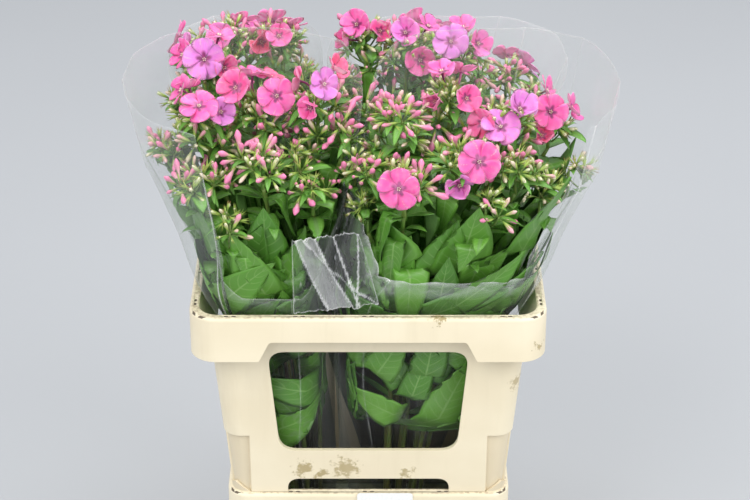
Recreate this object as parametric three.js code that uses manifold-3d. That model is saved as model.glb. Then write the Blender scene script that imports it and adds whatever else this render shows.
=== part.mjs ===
// Cut phlox in four clear sleeves, standing in water in a tapered bucket that carries a windowed collar.
// Millimetres, +Z up. The front faces -Y, and the origin is the middle of the bucket's underside.

import * as THREE from 'three';
import { mergeVertices } from 'three/addons/utils/BufferGeometryUtils.js';
import Module from 'manifold-3d';

const wasm = await Module();
wasm.setup();

// ---- Driving dimensions ----

const seat = 0.3; // left free between two pieces that rest on each other
const longer = 50; // how much further every outline reaches front to back than side to side, from the middle
const cornerSteps = 4; // facets of a round corner

const wall = 3; // thickness of the moulded plastic
const taper = 0.085; // how fast the collar narrows on its way down
const bucketTop = 260;
const collarTop = 472;
const collarBottom = bucketTop + seat;
const skirtDepth = 46; // how far the rim's skirt hangs down at the corners
const skirtRise = 25.3; // and in the middle of each side
const bucketRim = 137; // half widths, side to side
const collarRim = 165;
const bucketFoot = 107;
const bucketNeck = 119; // the bucket's body, just under its skirt
const collarNeck = 151; // the collar's body, carried on up to the rim's height
const bucketMouth = 127.5; // and the inner edges of both rims
const collarMouth = 155.5;
const rimDepth = 5; // thickness of a rim's flat top
const rimBevel = 2; // height of its rounded outer edge
const skirtArch = 0.55; // share of each side, from its middle, where the skirt is cut short
const skirtSlant = 12; // how far the ends of that cut lean out on their way down

const ledge = 328.5; // below this height the collar's corners step in, so that it nests
const cornerStep = 3;
const cornerStart = 113.4; // from here outwards, side to side, the corners step in
const cornerReach = 60; // further than any corner
const uprightRise = 0.72; // slope of the bucket's corner uprights, which fill those steps
const uprightTop = 300; // they end below this height

const throughAll = 500; // longer than the part is wide
const windowHole = { low: 310.6, high: 426.3, lowHalf: 84.5, highHalf: 94, radius: 17, length: throughAll };
const notchHole = { low: 248, high: 276.4, lowHalf: 78, highHalf: 78, radius: 12, length: throughAll };
const cardSize = [54, 0.8, 36]; // width, thickness and height
const cardAt = [16, 244]; // its middle, across and up

const waterTop = 85;
const stemRadius = 2.8;
const stemFoot = wall + seat;
const standingDepth = 90; // the stems stand straight up to here, and lean outwards above it
const flarePower = 2;
const footSpread = 0.22; // how closely the feet repeat the layout of the heads

const filmThickness = 0.6;
const filmSides = 12;
const filmSquareness = 3; // exponent of the sleeve's outline: 2 is an ellipse, more is squarer
const slackSquareness = 2; // and in front of the outer weld, where nothing fills the film out
const filmLevels = [100, 265, 430, 470, 600, 680];

const leafPairs = 5;
const leafSpacing = 58; // between pairs along the stem
const leafGap = 1.4; // kept free on each side of the surface half way between two plants
const filmGap = 2.8; // kept free inside the film
const leafAbove = 58; // how far a leaf may rise above its root, and hang below it
const leafBelow = 52;
const quarter = THREE.MathUtils.degToRad(43); // and how far it may spread to each side round the stem
const bladeThickness = 1.2;

const headDepth = 22; // from the top of the stem to the middle of the head
const coreRadius = 7;
const budRadius = 2.9;

// Each sleeve: where its bunch stands, the middle of its heads, on which side its outer weld runs, the height of
// its mouth at every side of the film, counterclockwise from the right, and the left, right, front and back of
// the film at each of the film's levels. The two in front are cut or folded low where their flowers lean out.
const bunches = [
  { foot: [-66, -82], middle: [-120, -120], outer: -1,
    mouth: [655, 665, 672, 672, 672, 672, 672, 672, 668, 530, 484, 510],
    sides: [[-100, -32, -116, -48], [-118, -40, -168, -3], [-136, -40, -186, -3], [-154.4, -40, -204.4, -3],
      [-210, -10, -240, -3], [-225, -2, -252, -3]] },
  { foot: [32, -82], middle: [95, -130], outer: 1,
    mouth: [672, 672, 672, 672, 669, 656, 608, 554, 512, 507, 508, 672],
    sides: [[0, 66, -116, -48], [-36, 118, -168, -3], [-36, 136, -186, -3], [-36, 154.4, -204.4, -3],
      [-6, 216, -250, -3], [2, 229, -270, -3]] },
  { foot: [-66, 82], middle: [-120, 110], outer: 0,
    mouth: [592, 592, 592, 592, 592, 592, 592, 583, 580, 580, 580, 583],
    sides: [[-100, -34, 48, 116], [-118, -44, 3, 168], [-136, -45, 3, 186], [-154.4, -46, 3, 204.4],
      [-208, -47, 3, 234], [-222, -47, 3, 244]] },
  { foot: [32, 82], middle: [60, 95], outer: 0,
    mouth: [592, 592, 592, 592, 592, 592, 592, 583, 580, 580, 580, 583],
    sides: [[0, 66, 48, 116], [-40, 118, 3, 168], [-41, 136, 3, 186], [-42, 154.4, 3, 204.4],
      [-43, 208, 3, 234], [-43, 222, 3, 244]] },
];

// Each plant: its bunch, the middle of its head, and its open florets. A floret has the place of its eye
// from the middle of the head, the compass and upward angle it faces, in degrees, and its diameter.
const plants = [
  { bunch: 0, x: -178, y: -112, z: 596, florets: [] },
  { bunch: 0, x: -150, y: -182, z: 592, florets: [] },
  { bunch: 0, x: -150, y: -122, z: 628, florets: [[-2, -26, 26, 280, 62, 36], [-20, 6, 28, 200, 30, 30]] },
  { bunch: 0, x: -94, y: -188, z: 614, florets: [] },
  { bunch: 0, x: -102, y: -112, z: 636,
    florets: [[-18, -8, 24, 250, 35, 36], [20, -22, 22, 285, 30, 36], [12, 16, 24, 50, 70, 28]] },
  { bunch: 0, x: -150, y: -50, z: 650,
    florets: [[-2, -22, 18, 270, 25, 40], [10, 6, 30, 20, 72, 30], [-24, 2, 12, 215, 35, 30]] },
  { bunch: 0, x: -46, y: -120, z: 646,
    florets: [[-16, 2, 20, 180, 10, 30], [6, -14, 24, 300, 25, 30], [16, 6, 30, 340, 40, 28]] },
  { bunch: 1, x: 33, y: -206, z: 604, florets: [[-6, -24, 8, 268, 18, 38]] },
  { bunch: 1, x: 80, y: -172, z: 612, florets: [[19, -24, 10, 272, 25, 40], [2, -26, -12, 262, 5, 30]] },
  { bunch: 1, x: 134, y: -166, z: 598, florets: [] },
  { bunch: 1, x: 26, y: -134, z: 636, florets: [] },
  { bunch: 1, x: 76, y: -94, z: 636, florets: [[-14, -20, 8, 240, 20, 28], [10, 10, 24, 80, 50, 32]] },
  { bunch: 1, x: 127, y: -106, z: 620,
    florets: [[-24, -18, 6, 235, 25, 30], [-6, -26, 6, 275, 60, 38], [12, -8, 16, 300, 55, 36]] },
  { bunch: 1, x: 170, y: -74, z: 600,
    florets: [[-2, -20, 24, 285, 30, 36], [20, -2, 20, 350, 30, 30], [-10, -26, 2, 275, 35, 26]] },
  { bunch: 2, x: -132, y: 44, z: 640, florets: [[8, -6, 26, 250, 55, 30]] },
  { bunch: 2, x: -85, y: 40, z: 637, florets: [[-19, -14, 14, 272, 20, 30], [8, 12, 24, 90, 50, 34]] },
  { bunch: 2, x: -172, y: 118, z: 598, florets: [[-22, 8, 10, 170, 25, 38]] },
  { bunch: 2, x: -100, y: 116, z: 604, florets: [[4, 20, 18, 80, 40, 38], [-24, -2, 14, 190, 45, 34]] },
  { bunch: 2, x: -117, y: 193, z: 570, florets: [[6, 22, 6, 85, 20, 38], [-24, 8, 6, 140, 20, 34]] },
  { bunch: 3, x: -3, y: 44, z: 643, florets: [[-8, -6, 26, 245, 30, 32], [-20, -8, 4, 200, 15, 26]] },
  { bunch: 3, x: 38, y: 32, z: 641, florets: [[-2, -6, 24, 265, 40, 32], [12, -18, -6, 280, 10, 32]] },
  { bunch: 3, x: 88, y: 30, z: 628,
    florets: [[-8, -16, 22, 270, 35, 36], [18, -6, 16, 310, 25, 30], [-16, -18, -6, 255, 20, 28]] },
  { bunch: 3, x: 158, y: 58, z: 566, florets: [[20, 2, 12, 350, 30, 34]] },
  { bunch: 3, x: 48, y: 116, z: 604, florets: [[0, 22, 16, 95, 35, 38], [-22, 0, 16, 170, 50, 34]] },
  { bunch: 3, x: 142, y: 134, z: 560, florets: [[22, 10, 10, 30, 25, 38], [2, 22, 16, 80, 45, 32]] },
  { bunch: 3, x: 66, y: 196, z: 570, florets: [[-6, 22, 8, 95, 20, 40], [22, 12, 8, 45, 30, 34]] },
];

const colours = {
  cream: { color: 0xeee2c4, roughness: 0.45 },
  water: { color: 0xb9c9c4, roughness: 0.05 },
  film: { color: 0xdfe4e2, roughness: 0.12 },
  card: { color: 0xf5f5f2, roughness: 0.6 },
  green: { color: 0x3f7f2c, roughness: 0.6 },
  pink: { color: 0xee5fa3, roughness: 0.6 },
};

// ---- Solids ----

function geometryOf(points, triangles) {
  const geometry = new THREE.BufferGeometry();
  const places = points.flatMap((point) => point.toArray());
  geometry.setAttribute('position', new THREE.Float32BufferAttribute(places, 3));
  geometry.setIndex(triangles.flat());
  return geometry;
}

function solid(geometry) {
  const bare = geometry.clone();
  bare.deleteAttribute('normal');
  bare.deleteAttribute('uv');
  const merged = mergeVertices(bare, 1e-4);
  return new wasm.Manifold(new wasm.Mesh({
    numProp: 3,
    vertProperties: new Float32Array(merged.attributes.position.array),
    triVerts: new Uint32Array(merged.index.array),
  }));
}

function joined(solids) {
  return solids.reduce((all, one) => all.add(one));
}

// A rounded rectangle's outline at one height, counterclockwise seen from above.
function outline(halfWidth, radius, z, halfDepth = halfWidth + longer) {
  const points = [];
  for (let corner = 0; corner < 4; corner++) {
    const sideX = corner === 0 || corner === 3 ? 1 : -1;
    const sideY = corner < 2 ? 1 : -1;
    for (let step = 0; step <= cornerSteps; step++) {
      const angle = (corner + step / cornerSteps) * Math.PI / 2;
      points.push(new THREE.Vector3(
        sideX * (halfWidth - radius) + radius * Math.cos(angle),
        sideY * (halfDepth - radius) + radius * Math.sin(angle),
        z,
      ));
    }
  }
  return points;
}

// Triangles between two rings of points, the second further on than the first. From the point `turnedFrom`
// on, the quads are halved along their other diagonal, so that the two sides of a thin wall run alike.
function band(triangles, low, high, turnedFrom = low.length) {
  low.forEach((at, k) => {
    const next = (k + 1) % low.length;
    if (k < turnedFrom) triangles.push([at, low[next], high[next]], [at, high[next], high[k]]);
    else triangles.push([at, low[next], high[k]], [low[next], high[next], high[k]]);
  });
}

// A closed surface through outlines of equal counts, one after the other. The ends are closed over, or
// joined to each other to make a wall with a hole through it.
function loft(rings, isWall = false) {
  const count = rings[0].length;
  const bands = isWall ? rings.length : rings.length - 1;
  const numbered = rings.map((ring, level) => ring.map((_, k) => level * count + k));
  const triangles = [];
  for (let level = 0; level < bands; level++) {
    const after = (level + 1) % rings.length;
    const isFalling = rings[after][0].z < rings[level][0].z;
    band(triangles, numbered[level], numbered[after], isFalling ? 0 : count);
  }
  for (let k = 1; k < count - 1 && !isWall; k++) {
    const end = bands * count;
    triangles.push([0, k + 1, k], [end, end + k, end + k + 1]);
  }
  return solid(geometryOf(rings.flat(), triangles));
}

// A trapezoid with round corners, standing upright and extruded along Y, or along X when it is turned.
function upright({ low, high, lowHalf, highHalf, radius, length, offset = 0, turned = false }) {
  const slope = (highHalf - lowHalf) / (high - low);
  const shape = new THREE.Shape();
  shape.moveTo(-lowHalf + radius, low);
  shape.lineTo(lowHalf - radius, low);
  shape.quadraticCurveTo(lowHalf, low, lowHalf + slope * radius, low + radius);
  shape.lineTo(highHalf - slope * radius, high - radius);
  shape.quadraticCurveTo(highHalf, high, highHalf - radius, high);
  shape.lineTo(-highHalf + radius, high);
  shape.quadraticCurveTo(-highHalf, high, -highHalf + slope * radius, high - radius);
  shape.lineTo(-lowHalf - slope * radius, low + radius);
  shape.quadraticCurveTo(-lowHalf, low, -lowHalf + radius, low);
  const settings = { depth: length, bevelEnabled: false, curveSegments: cornerSteps };
  const geometry = new THREE.ExtrudeGeometry(shape, settings);
  geometry.rotateX(Math.PI / 2);
  geometry.translate(0, length / 2 + offset, 0);
  if (turned) geometry.rotateZ(Math.PI / 2);
  return solid(geometry);
}

// The middle of the skirt is cut short on every side, outside the body.
function skirtGaps(rim, top) {
  const gaps = [];
  for (const side of [-1, 1]) {
    for (const turned of [false, true]) {
      const half = rim * skirtArch + (turned ? longer : 0);
      gaps.push(upright({
        low: top - skirtDepth - wall,
        high: top - skirtRise,
        lowHalf: half + skirtSlant,
        highHalf: half,
        radius: 1,
        length: 3 * wall,
        offset: side * (rim + (turned ? 0 : longer)),
        turned,
      }));
    }
  }
  return joined(gaps);
}

// ---- Bucket ----

const bucketTaper = (bucketNeck - bucketFoot) / (bucketTop - skirtDepth);

function bucketHalf(z) {
  return bucketFoot + bucketTaper * z;
}

function collarHalf(z) {
  return collarNeck - taper * (collarTop - z);
}

function cornerBlocks(low, high) {
  const blocks = [];
  for (const sideX of [-1, 1]) {
    for (const sideY of [-1, 1]) {
      const block = new THREE.BoxGeometry(cornerReach, cornerReach, high - low);
      const middle = cornerStart + cornerReach / 2;
      block.translate(sideX * middle, sideY * (middle + longer), (low + high) / 2);
      blocks.push(solid(block));
    }
  }
  return joined(blocks);
}

// The corner uprights stand flush with the collar's face, and their tops slope up towards the corner.
function cornerUprights() {
  const shell = loft([
    outline(collarHalf(bucketTop), 16, bucketTop - 1),
    outline(collarHalf(uprightTop), 18, uprightTop),
    outline(collarHalf(uprightTop) - cornerStep + seat, 15, uprightTop),
    outline(collarHalf(bucketTop) - cornerStep + seat, 13, bucketTop - 1),
  ], true);
  const slope = new THREE.Shape([
    new THREE.Vector2(cornerStart, bucketTop - rimBevel),
    new THREE.Vector2(cornerStart + cornerReach, bucketTop - rimBevel),
    new THREE.Vector2(cornerStart + cornerReach, bucketTop + uprightRise * cornerReach),
    new THREE.Vector2(cornerStart, bucketTop),
  ]);
  const pieces = [];
  for (const mirror of [-1, 1]) {
    const alongX = new THREE.ExtrudeGeometry(slope, { depth: throughAll, bevelEnabled: false });
    alongX.rotateX(Math.PI / 2).translate(0, throughAll / 2, 0);
    const alongY = alongX.clone().translate(longer, 0, 0).rotateZ(Math.PI / 2);
    const turnX = alongX.rotateZ(mirror < 0 ? Math.PI : 0);
    for (const other of [-1, 1]) {
      const turnY = alongY.clone().rotateZ(other < 0 ? Math.PI : 0);
      pieces.push(solid(turnX).intersect(solid(turnY)));
    }
  }
  return shell.intersect(joined(pieces));
}

function bucket() {
  const neck = bucketTop - skirtDepth;
  const body = loft([
    outline(bucketFoot, 14, 0),
    outline(bucketNeck, 16, neck),
    outline(bucketMouth + wall, 17, bucketTop - rimDepth),
    outline(bucketRim - wall, 18, bucketTop - rimDepth),
    outline(bucketRim - wall, 18, neck),
    outline(bucketRim, 20, neck),
    outline(bucketRim, 20, bucketTop - rimBevel),
    outline(bucketRim - rimBevel, 19, bucketTop),
  ]);
  const inside = loft([
    outline(bucketHalf(wall) - wall, 11, wall),
    outline(bucketNeck - wall, 13, neck),
    outline(bucketMouth, 14, bucketTop),
    outline(bucketMouth, 14, bucketTop + 1),
  ]);
  return body.subtract(inside).subtract(skirtGaps(bucketRim, bucketTop)).add(cornerUprights());
}

// ---- Collar ----

function collar() {
  const neck = collarTop - skirtDepth;
  const body = loft([
    outline(collarHalf(collarBottom), 16, collarBottom),
    outline(collarHalf(neck), 20, neck),
    outline(collarMouth + wall, 22, collarTop - rimDepth),
    outline(collarRim - wall, 22, collarTop - rimDepth),
    outline(collarRim - wall, 22, neck),
    outline(collarRim, 25, neck),
    outline(collarRim, 25, collarTop - rimBevel),
    outline(collarRim - rimBevel, 24, collarTop),
    outline(collarMouth, 18, collarTop),
    outline(collarHalf(neck) - wall, 17, neck),
    outline(collarHalf(ledge + 4) - wall, 15, ledge + 4),
    outline(collarHalf(ledge - 4) - wall - 2, 13, ledge - 4),
    outline(collarHalf(collarBottom) - wall - 2, 12, collarBottom),
  ], true);
  const stepIn = cornerBlocks(collarBottom - 1, ledge).subtract(loft([
    outline(collarHalf(collarBottom - 2) - cornerStep, 13, collarBottom - 2),
    outline(collarHalf(ledge + 1) - cornerStep, 15, ledge + 1),
  ]));
  const openings = [windowHole, notchHole].flatMap((hole) => {
    const wider = { lowHalf: hole.lowHalf + longer, highHalf: hole.highHalf + longer, turned: true };
    return [upright(hole), upright({ ...hole, ...wider })];
  });
  return body.subtract(stepIn).subtract(skirtGaps(collarRim, collarTop)).subtract(joined(openings));
}

// A plain card hangs on the front of the bucket's skirt.
function card() {
  const geometry = new THREE.BoxGeometry(...cardSize);
  geometry.translate(cardAt[0], -(bucketRim + longer) - seat - cardSize[1] / 2, cardAt[1]);
  return solid(geometry);
}

// ---- Where each plant and each film goes ----

for (const plant of plants) {
  const { foot, middle } = bunches[plant.bunch];
  plant.footX = foot[0] + footSpread * (plant.x - middle[0]);
  plant.footY = foot[1] + footSpread * (plant.y - middle[1]);
  plant.top = plant.z - headDepth;
}

function flare(z) {
  return Math.max(0, z - standingDepth) ** flarePower;
}

function stemAt(plant, z) {
  const lean = flare(z) / flare(plant.top);
  return new THREE.Vector2(
    plant.footX + (plant.x - plant.footX) * lean,
    plant.footY + (plant.y - plant.footY) * lean,
  );
}

function smooth(value) {
  const held = Math.min(1, Math.max(0, value));
  return held * held * (3 - 2 * held);
}

// A point of a sleeve's outline at one height: a squared-off ellipse between the film's four sides. Above the
// collar's rim, the film in front leaves the outer weld with less of a corner.
function filmPoint(bunch, angle, z, inset = 0) {
  let level = 0;
  while (level < filmLevels.length - 2 && z > filmLevels[level + 1]) level++;
  const part = (z - filmLevels[level]) / (filmLevels[level + 1] - filmLevels[level]);
  const [left, right, front, back] = bunch.sides[level].map(
    (side, k) => side + (bunch.sides[level + 1][k] - side) * part,
  );
  const [, , , rim, shoulder] = filmLevels;
  const isOuterFront = Math.sin(angle) < 0 && Math.cos(angle) * bunch.outer > 0;
  const slack = isOuterFront ? smooth((z - rim) / (shoulder - rim)) : 0;
  const squareness = filmSquareness + (slackSquareness - filmSquareness) * slack;
  const bend = (value) => Math.sign(value) * Math.abs(value) ** (2 / squareness);
  return new THREE.Vector3(
    (left + right) / 2 + ((right - left) / 2 - inset) * bend(Math.cos(angle)),
    (front + back) / 2 + ((back - front) / 2 - inset) * bend(Math.sin(angle)),
    z,
  );
}

function filmAngles() {
  return Array.from({ length: filmSides }, (_, k) => (k * 2 * Math.PI) / filmSides);
}

function sleeve(bunch) {
  const rings = [];
  const [bottom, waist, neck, rim, shoulder] = filmLevels;
  const levels = [bottom, waist, neck, rim].map((z) => bunch.mouth.map(() => z));
  levels.push(bunch.mouth.map((top) => Math.min(shoulder, rim + (top - rim) * 0.75)), bunch.mouth);
  for (const heights of levels) {
    rings.push(filmAngles().map((angle, k) => filmPoint(bunch, angle, heights[k])));
  }
  for (const heights of levels.reverse()) {
    rings.push(filmAngles().map((angle, k) => filmPoint(bunch, angle, heights[k], filmThickness)));
  }
  return loft(rings, true);
}

// How far a plant's own space reaches from its stem in one direction: half way to each plant of its bunch,
// and to the film round them.
function reach(plant, direction, z) {
  const here = stemAt(plant, z);
  let least = Infinity;
  for (const other of plants) {
    if (other === plant || other.bunch !== plant.bunch) continue;
    const between = stemAt(other, z).sub(here);
    const across = between.dot(direction) / between.length();
    if (across > 0.01) least = Math.min(least, (between.length() / 2 - leafGap) / across);
  }
  const bunch = bunches[plant.bunch];
  const corners = filmAngles().map((angle) => filmPoint(bunch, angle, z, filmThickness + filmGap));
  corners.forEach((corner, k) => {
    const next = corners[(k + 1) % corners.length];
    const outward = new THREE.Vector2(next.y - corner.y, corner.x - next.x).normalize();
    const distance = (corner.x - here.x) * outward.x + (corner.y - here.y) * outward.y;
    const across = outward.dot(direction);
    if (across > 0.01) least = Math.min(least, distance / across);
  });
  return least;
}

// A distance that gives way more and more past two thirds of its limit, and never reaches it.
function eased(distance, limit) {
  const free = limit * 0.66;
  if (distance <= free) return distance;
  return free + (limit - free) * (1 - Math.exp((free - distance) / (limit - free)));
}

// Bends a point clear of the neighbours, straight towards its own stem.
function bentClear(plant, point) {
  const here = stemAt(plant, point.z);
  const away = new THREE.Vector2(point.x, point.y).sub(here);
  const distance = away.length();
  if (distance < 1e-6) return point.clone();
  away.normalize();
  const kept = eased(distance, reach(plant, away, point.z));
  return new THREE.Vector3(here.x + away.x * kept, here.y + away.y * kept, point.z);
}

// A number from 0 to 1 that is always the same for the same three labels.
function chance(a, b, c) {
  const value = Math.sin(a * 12.9898 + b * 78.233 + c * 37.719) * 43758.5453;
  return value - Math.floor(value);
}

// ---- Leafy stems ----

// Keeps a point of a leaf in the leaf's own quarter round the stem and its own band of height.
function inLeafSpace(plant, { root, compass, headroom }, point) {
  const up = point.z - root;
  const z = root + (up > 0 ? eased(up, headroom) : -eased(-up, leafBelow));
  const here = stemAt(plant, z);
  const from = stemAt(plant, point.z);
  const away = new THREE.Vector2(point.x - from.x, point.y - from.y);
  const distance = away.length();
  let aside = away.angle() - compass;
  aside -= Math.round(aside / (2 * Math.PI)) * 2 * Math.PI;
  const turned = compass + Math.sign(aside) * eased(Math.abs(aside), quarter);
  return bentClear(plant, new THREE.Vector3(
    here.x + distance * Math.cos(turned), here.y + distance * Math.sin(turned), z,
  ));
}

// One leaf, a thin blade with a ridge along its middle, as rings of four points from the stem outwards and a
// tip. What its plant has no room for sideways goes up or hangs down, as its turn says.
function leafRings(plant, spec) {
  const { root, compass, length, width, rise, turn } = spec;
  const out = new THREE.Vector3(Math.cos(compass), Math.sin(compass), 0);
  const side = new THREE.Vector3(-out.y, out.x, 0);
  const centres = [new THREE.Vector3(...stemAt(plant, root), root)];
  const rows = [[0.3, 1], [0.66, 0.8], [1, 0]];
  for (const [along] of rows) {
    const away = length * Math.cos(rise) * along;
    const up = length * (Math.sin(rise) * along - 0.22 * along * along);
    const here = stemAt(plant, root + up);
    const wanted = new THREE.Vector3(here.x + out.x * away, here.y + out.y * away, root + up);
    const lost = wanted.distanceTo(bentClear(plant, wanted));
    wanted.z += turn * 0.8 * lost;
    centres.push(inLeafSpace(plant, spec, wanted));
  }
  const rings = [1, 2].map((row) => {
    const half = rows[row - 1][1] * width / 2;
    const [left, right] = [-1, 1].map(
      (way) => inLeafSpace(plant, spec, centres[row].clone().addScaledVector(side, way * half)),
    );
    const along = centres[row + 1].clone().sub(centres[row - 1]);
    const normal = along.cross(right.clone().sub(left)).normalize().multiplyScalar(bladeThickness / 2);
    return [left, centres[row].clone().sub(normal), right, centres[row].clone().add(normal)];
  });
  return { rings, tip: centres[3] };
}

function circle(centre, radius, sides, z, start = 0) {
  return Array.from({ length: sides }, (_, k) => {
    const angle = start + (k * 2 * Math.PI) / sides;
    return new THREE.Vector3(centre.x + radius * Math.cos(angle), centre.y + radius * Math.sin(angle), z);
  });
}

// A four-sided stem. At each pair of leaves two opposite sides grow out into blades.
function leafyStem(plant, index) {
  const points = [];
  const triangles = [];
  const add = (ring) => ring.map((point) => points.push(point) - 1);
  const turned = chance(index, 0, 1) * Math.PI;
  const pairs = [];
  for (let pair = leafPairs - 1; pair >= 0; pair--) {
    pairs.push({ pair, root: plant.top - 12 - pair * leafSpacing });
  }
  const levels = [stemFoot, standingDepth, 200].map((z) => ({ z }));
  for (const { pair, root } of pairs) levels.push({ z: root - 2.2, pair, root }, { z: root + 2.2 });
  levels.push({ z: plant.top });
  let below = null;
  levels.forEach(({ z }, level) => {
    const radius = stemRadius - 0.06 * level;
    const ring = add(circle(stemAt(plant, z), radius, 4, z, turned + Math.PI / 4));
    if (!below) triangles.push([ring[0], ring[2], ring[1]], [ring[0], ring[3], ring[2]]);
    const { pair, root } = levels[Math.max(0, level - 1)];
    for (let side = 0; side < 4 && below; side++) {
      const first = (side + 3) % 4;
      const foot = [below[first], below[side], ring[side], ring[first]];
      if (pair === undefined || side % 2 !== pair % 2) {
        triangles.push([foot[0], foot[1], foot[2]], [foot[0], foot[2], foot[3]]);
        continue;
      }
      const draw = (kind) => chance(index, 2 * pair + (side > 1 ? 1 : 0) + 1, kind);
      const upper = pair < 2;
      const { rings, tip } = leafRings(plant, {
        root,
        compass: turned + side * (Math.PI / 2),
        headroom: Math.min(leafAbove, plant.top - 3 - root),
        length: (pair === 0 ? 64 : 94) + 18 * draw(4),
        width: (pair === 0 ? 22 : 31) + 6 * draw(5),
        rise: THREE.MathUtils.degToRad(upper ? 6 + 18 * draw(6) : 34 + 16 * draw(6)),
        turn: upper ? -1 : 1,
      });
      const [inner, outer] = rings.map(add);
      band(triangles, foot, inner);
      band(triangles, inner, outer, 2);
      const end = points.push(tip) - 1;
      for (let k = 0; k < 4; k++) triangles.push([outer[k], outer[(k + 1) % 4], end]);
    }
    below = ring;
  });
  triangles.push([below[0], below[1], below[2]], [below[0], below[2], below[3]]);
  return solid(geometryOf(points, triangles));
}

// ---- Flower heads ----

// Five broad petals in one thin disc, each with two points on its round edge and a notch beside it, and the
// narrow tube behind them, which ends in the head's middle.
function floret(plant, from, [dx, dy, dz, compass, upward, diameter]) {
  const turn = THREE.MathUtils.degToRad(compass);
  const lift = THREE.MathUtils.degToRad(upward);
  const facing = new THREE.Vector3(
    Math.cos(turn) * Math.cos(lift), Math.sin(turn) * Math.cos(lift), Math.sin(lift),
  );
  const u = new THREE.Vector3(-Math.sin(turn), Math.cos(turn), 0);
  const v = new THREE.Vector3().crossVectors(facing, u);
  const eye = bentClear(plant, new THREE.Vector3(plant.x + dx, plant.y + dy, plant.z + dz));
  const around = (radius, angle, back) => eye.clone().addScaledVector(facing, -back)
    .addScaledVector(u, radius * Math.cos(angle)).addScaledVector(v, radius * Math.sin(angle));
  const points = [eye.clone().addScaledVector(facing, -0.6), from.clone()];
  for (let k = 0; k < 3; k++) points.push(around(1.6, (k * 2 * Math.PI) / 3, 2.6));
  for (let k = 0; k < 15; k++) {
    const radius = diameter / 2 * (k % 3 === 0 ? 0.8 : 1);
    points.push(bentClear(plant, around(radius, (k * 2 * Math.PI) / 15, 0)));
  }
  const triangles = [];
  for (let k = 0; k < 3; k++) {
    const neck = 2 + k;
    const next = 2 + ((k + 1) % 3);
    triangles.push([1, next, neck], [neck, next, 5 + ((5 * k + 5) % 15)]);
    for (let j = 0; j < 5; j++) {
      const edge = 5 + 5 * k + j;
      const after = 5 + ((5 * k + j + 1) % 15);
      triangles.push([neck, after, edge], [edge, after, 0]);
    }
  }
  return solid(geometryOf(points, triangles));
}

// The head is a small twenty-sided core on a short stalk. Every side of the core grows out into a bud, with
// its widest part near the tip, or into the point of a bare calyx.
function flowerHead(plant, index) {
  const middle = new THREE.Vector3(plant.x, plant.y, plant.z - 6);
  const turned = chance(index, 30, 1) * Math.PI;
  const wide = coreRadius * 0.894;
  const tall = coreRadius * 0.447;
  const points = [new THREE.Vector3(plant.x, plant.y, middle.z + coreRadius)];
  points.push(...circle(plant, wide, 5, middle.z + tall, turned));
  points.push(...circle(plant, wide, 5, middle.z - tall, turned + Math.PI / 5));
  points.push(...circle(plant, 2.4, 5, plant.top + seat, turned + Math.PI / 5));
  const faces = [];
  const triangles = [[11, 13, 12], [11, 14, 13], [11, 15, 14]];
  for (let k = 0; k < 5; k++) {
    const next = (k + 1) % 5;
    faces.push([0, 1 + k, 1 + next], [1 + k, 6 + k, 1 + next], [6 + k, 6 + next, 1 + next]);
    triangles.push([11 + k, 11 + next, 6 + next], [11 + k, 6 + next, 6 + k]);
  }
  const florets = plant.florets.map(([dx, dy, dz]) => new THREE.Vector3(dx, dy, dz + 6).normalize());
  faces.forEach((face, k) => {
    const draw = (kind) => chance(index, 40 + k, kind);
    const centre = face.reduce((sum, at) => sum.add(points[at]), new THREE.Vector3()).divideScalar(3);
    const direction = centre.clone().sub(middle).normalize();
    direction.z += 0.12 + 0.2 * draw(1);
    direction.normalize();
    const byFloret = florets.some((one) => one.dot(direction) > 0.7);
    const isBud = !byFloret && k % 3 !== 2;
    let length = byFloret ? 12 : (isBud ? 27 : 20) + 8 * draw(2);
    const end = () => middle.clone().addScaledVector(direction, length);
    const isOutside = (point) => {
      const away = new THREE.Vector2(point.x, point.y).sub(stemAt(plant, point.z));
      const distance = away.length();
      return distance > reach(plant, away.normalize(), point.z) - 3;
    };
    while (length > 12 && isOutside(end())) length *= 0.93;
    const tip = points.push(end()) - 1;
    if (!isBud) {
      face.forEach((at, side) => triangles.push([at, face[(side + 1) % 3], tip]));
      return;
    }
    const waist = middle.clone().addScaledVector(direction, length * 0.74);
    const ring = face.map((at) => {
      const off = points[at].clone().sub(centre);
      off.addScaledVector(direction, -off.dot(direction)).normalize();
      return points.push(waist.clone().addScaledVector(off, budRadius)) - 1;
    });
    band(triangles, face, ring);
    ring.forEach((at, side) => triangles.push([at, ring[(side + 1) % 3], tip]));
  });
  const core = solid(geometryOf(points, triangles));
  return joined([core, ...plant.florets.map((one) => floret(plant, middle, one))]);
}

// ---- Water ----

function water() {
  const pool = loft([
    outline(bucketHalf(stemFoot) - wall - seat, 10, stemFoot),
    outline(bucketHalf(waterTop) - wall - seat, 11, waterTop),
  ]);
  const holes = plants.map((plant) => loft([
    circle(stemAt(plant, 0), stemRadius + 0.7, 5, 0),
    circle(stemAt(plant, 0), stemRadius + 0.7, 5, waterTop + 1),
  ]));
  return pool.subtract(joined(holes));
}

// ---- The whole part ----

const whole = new THREE.Group();

function place(name, body, look) {
  const mesh = body.getMesh();
  const geometry = new THREE.BufferGeometry();
  geometry.setAttribute('position', new THREE.BufferAttribute(new Float32Array(mesh.vertProperties), 3));
  geometry.setIndex(new THREE.BufferAttribute(new Uint32Array(mesh.triVerts), 1));
  geometry.computeVertexNormals();
  const piece = new THREE.Mesh(geometry, new THREE.MeshStandardMaterial({ ...look, metalness: 0 }));
  piece.name = name;
  whole.add(piece);
}

const label = (index) => String(index + 1).padStart(2, '0');

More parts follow.
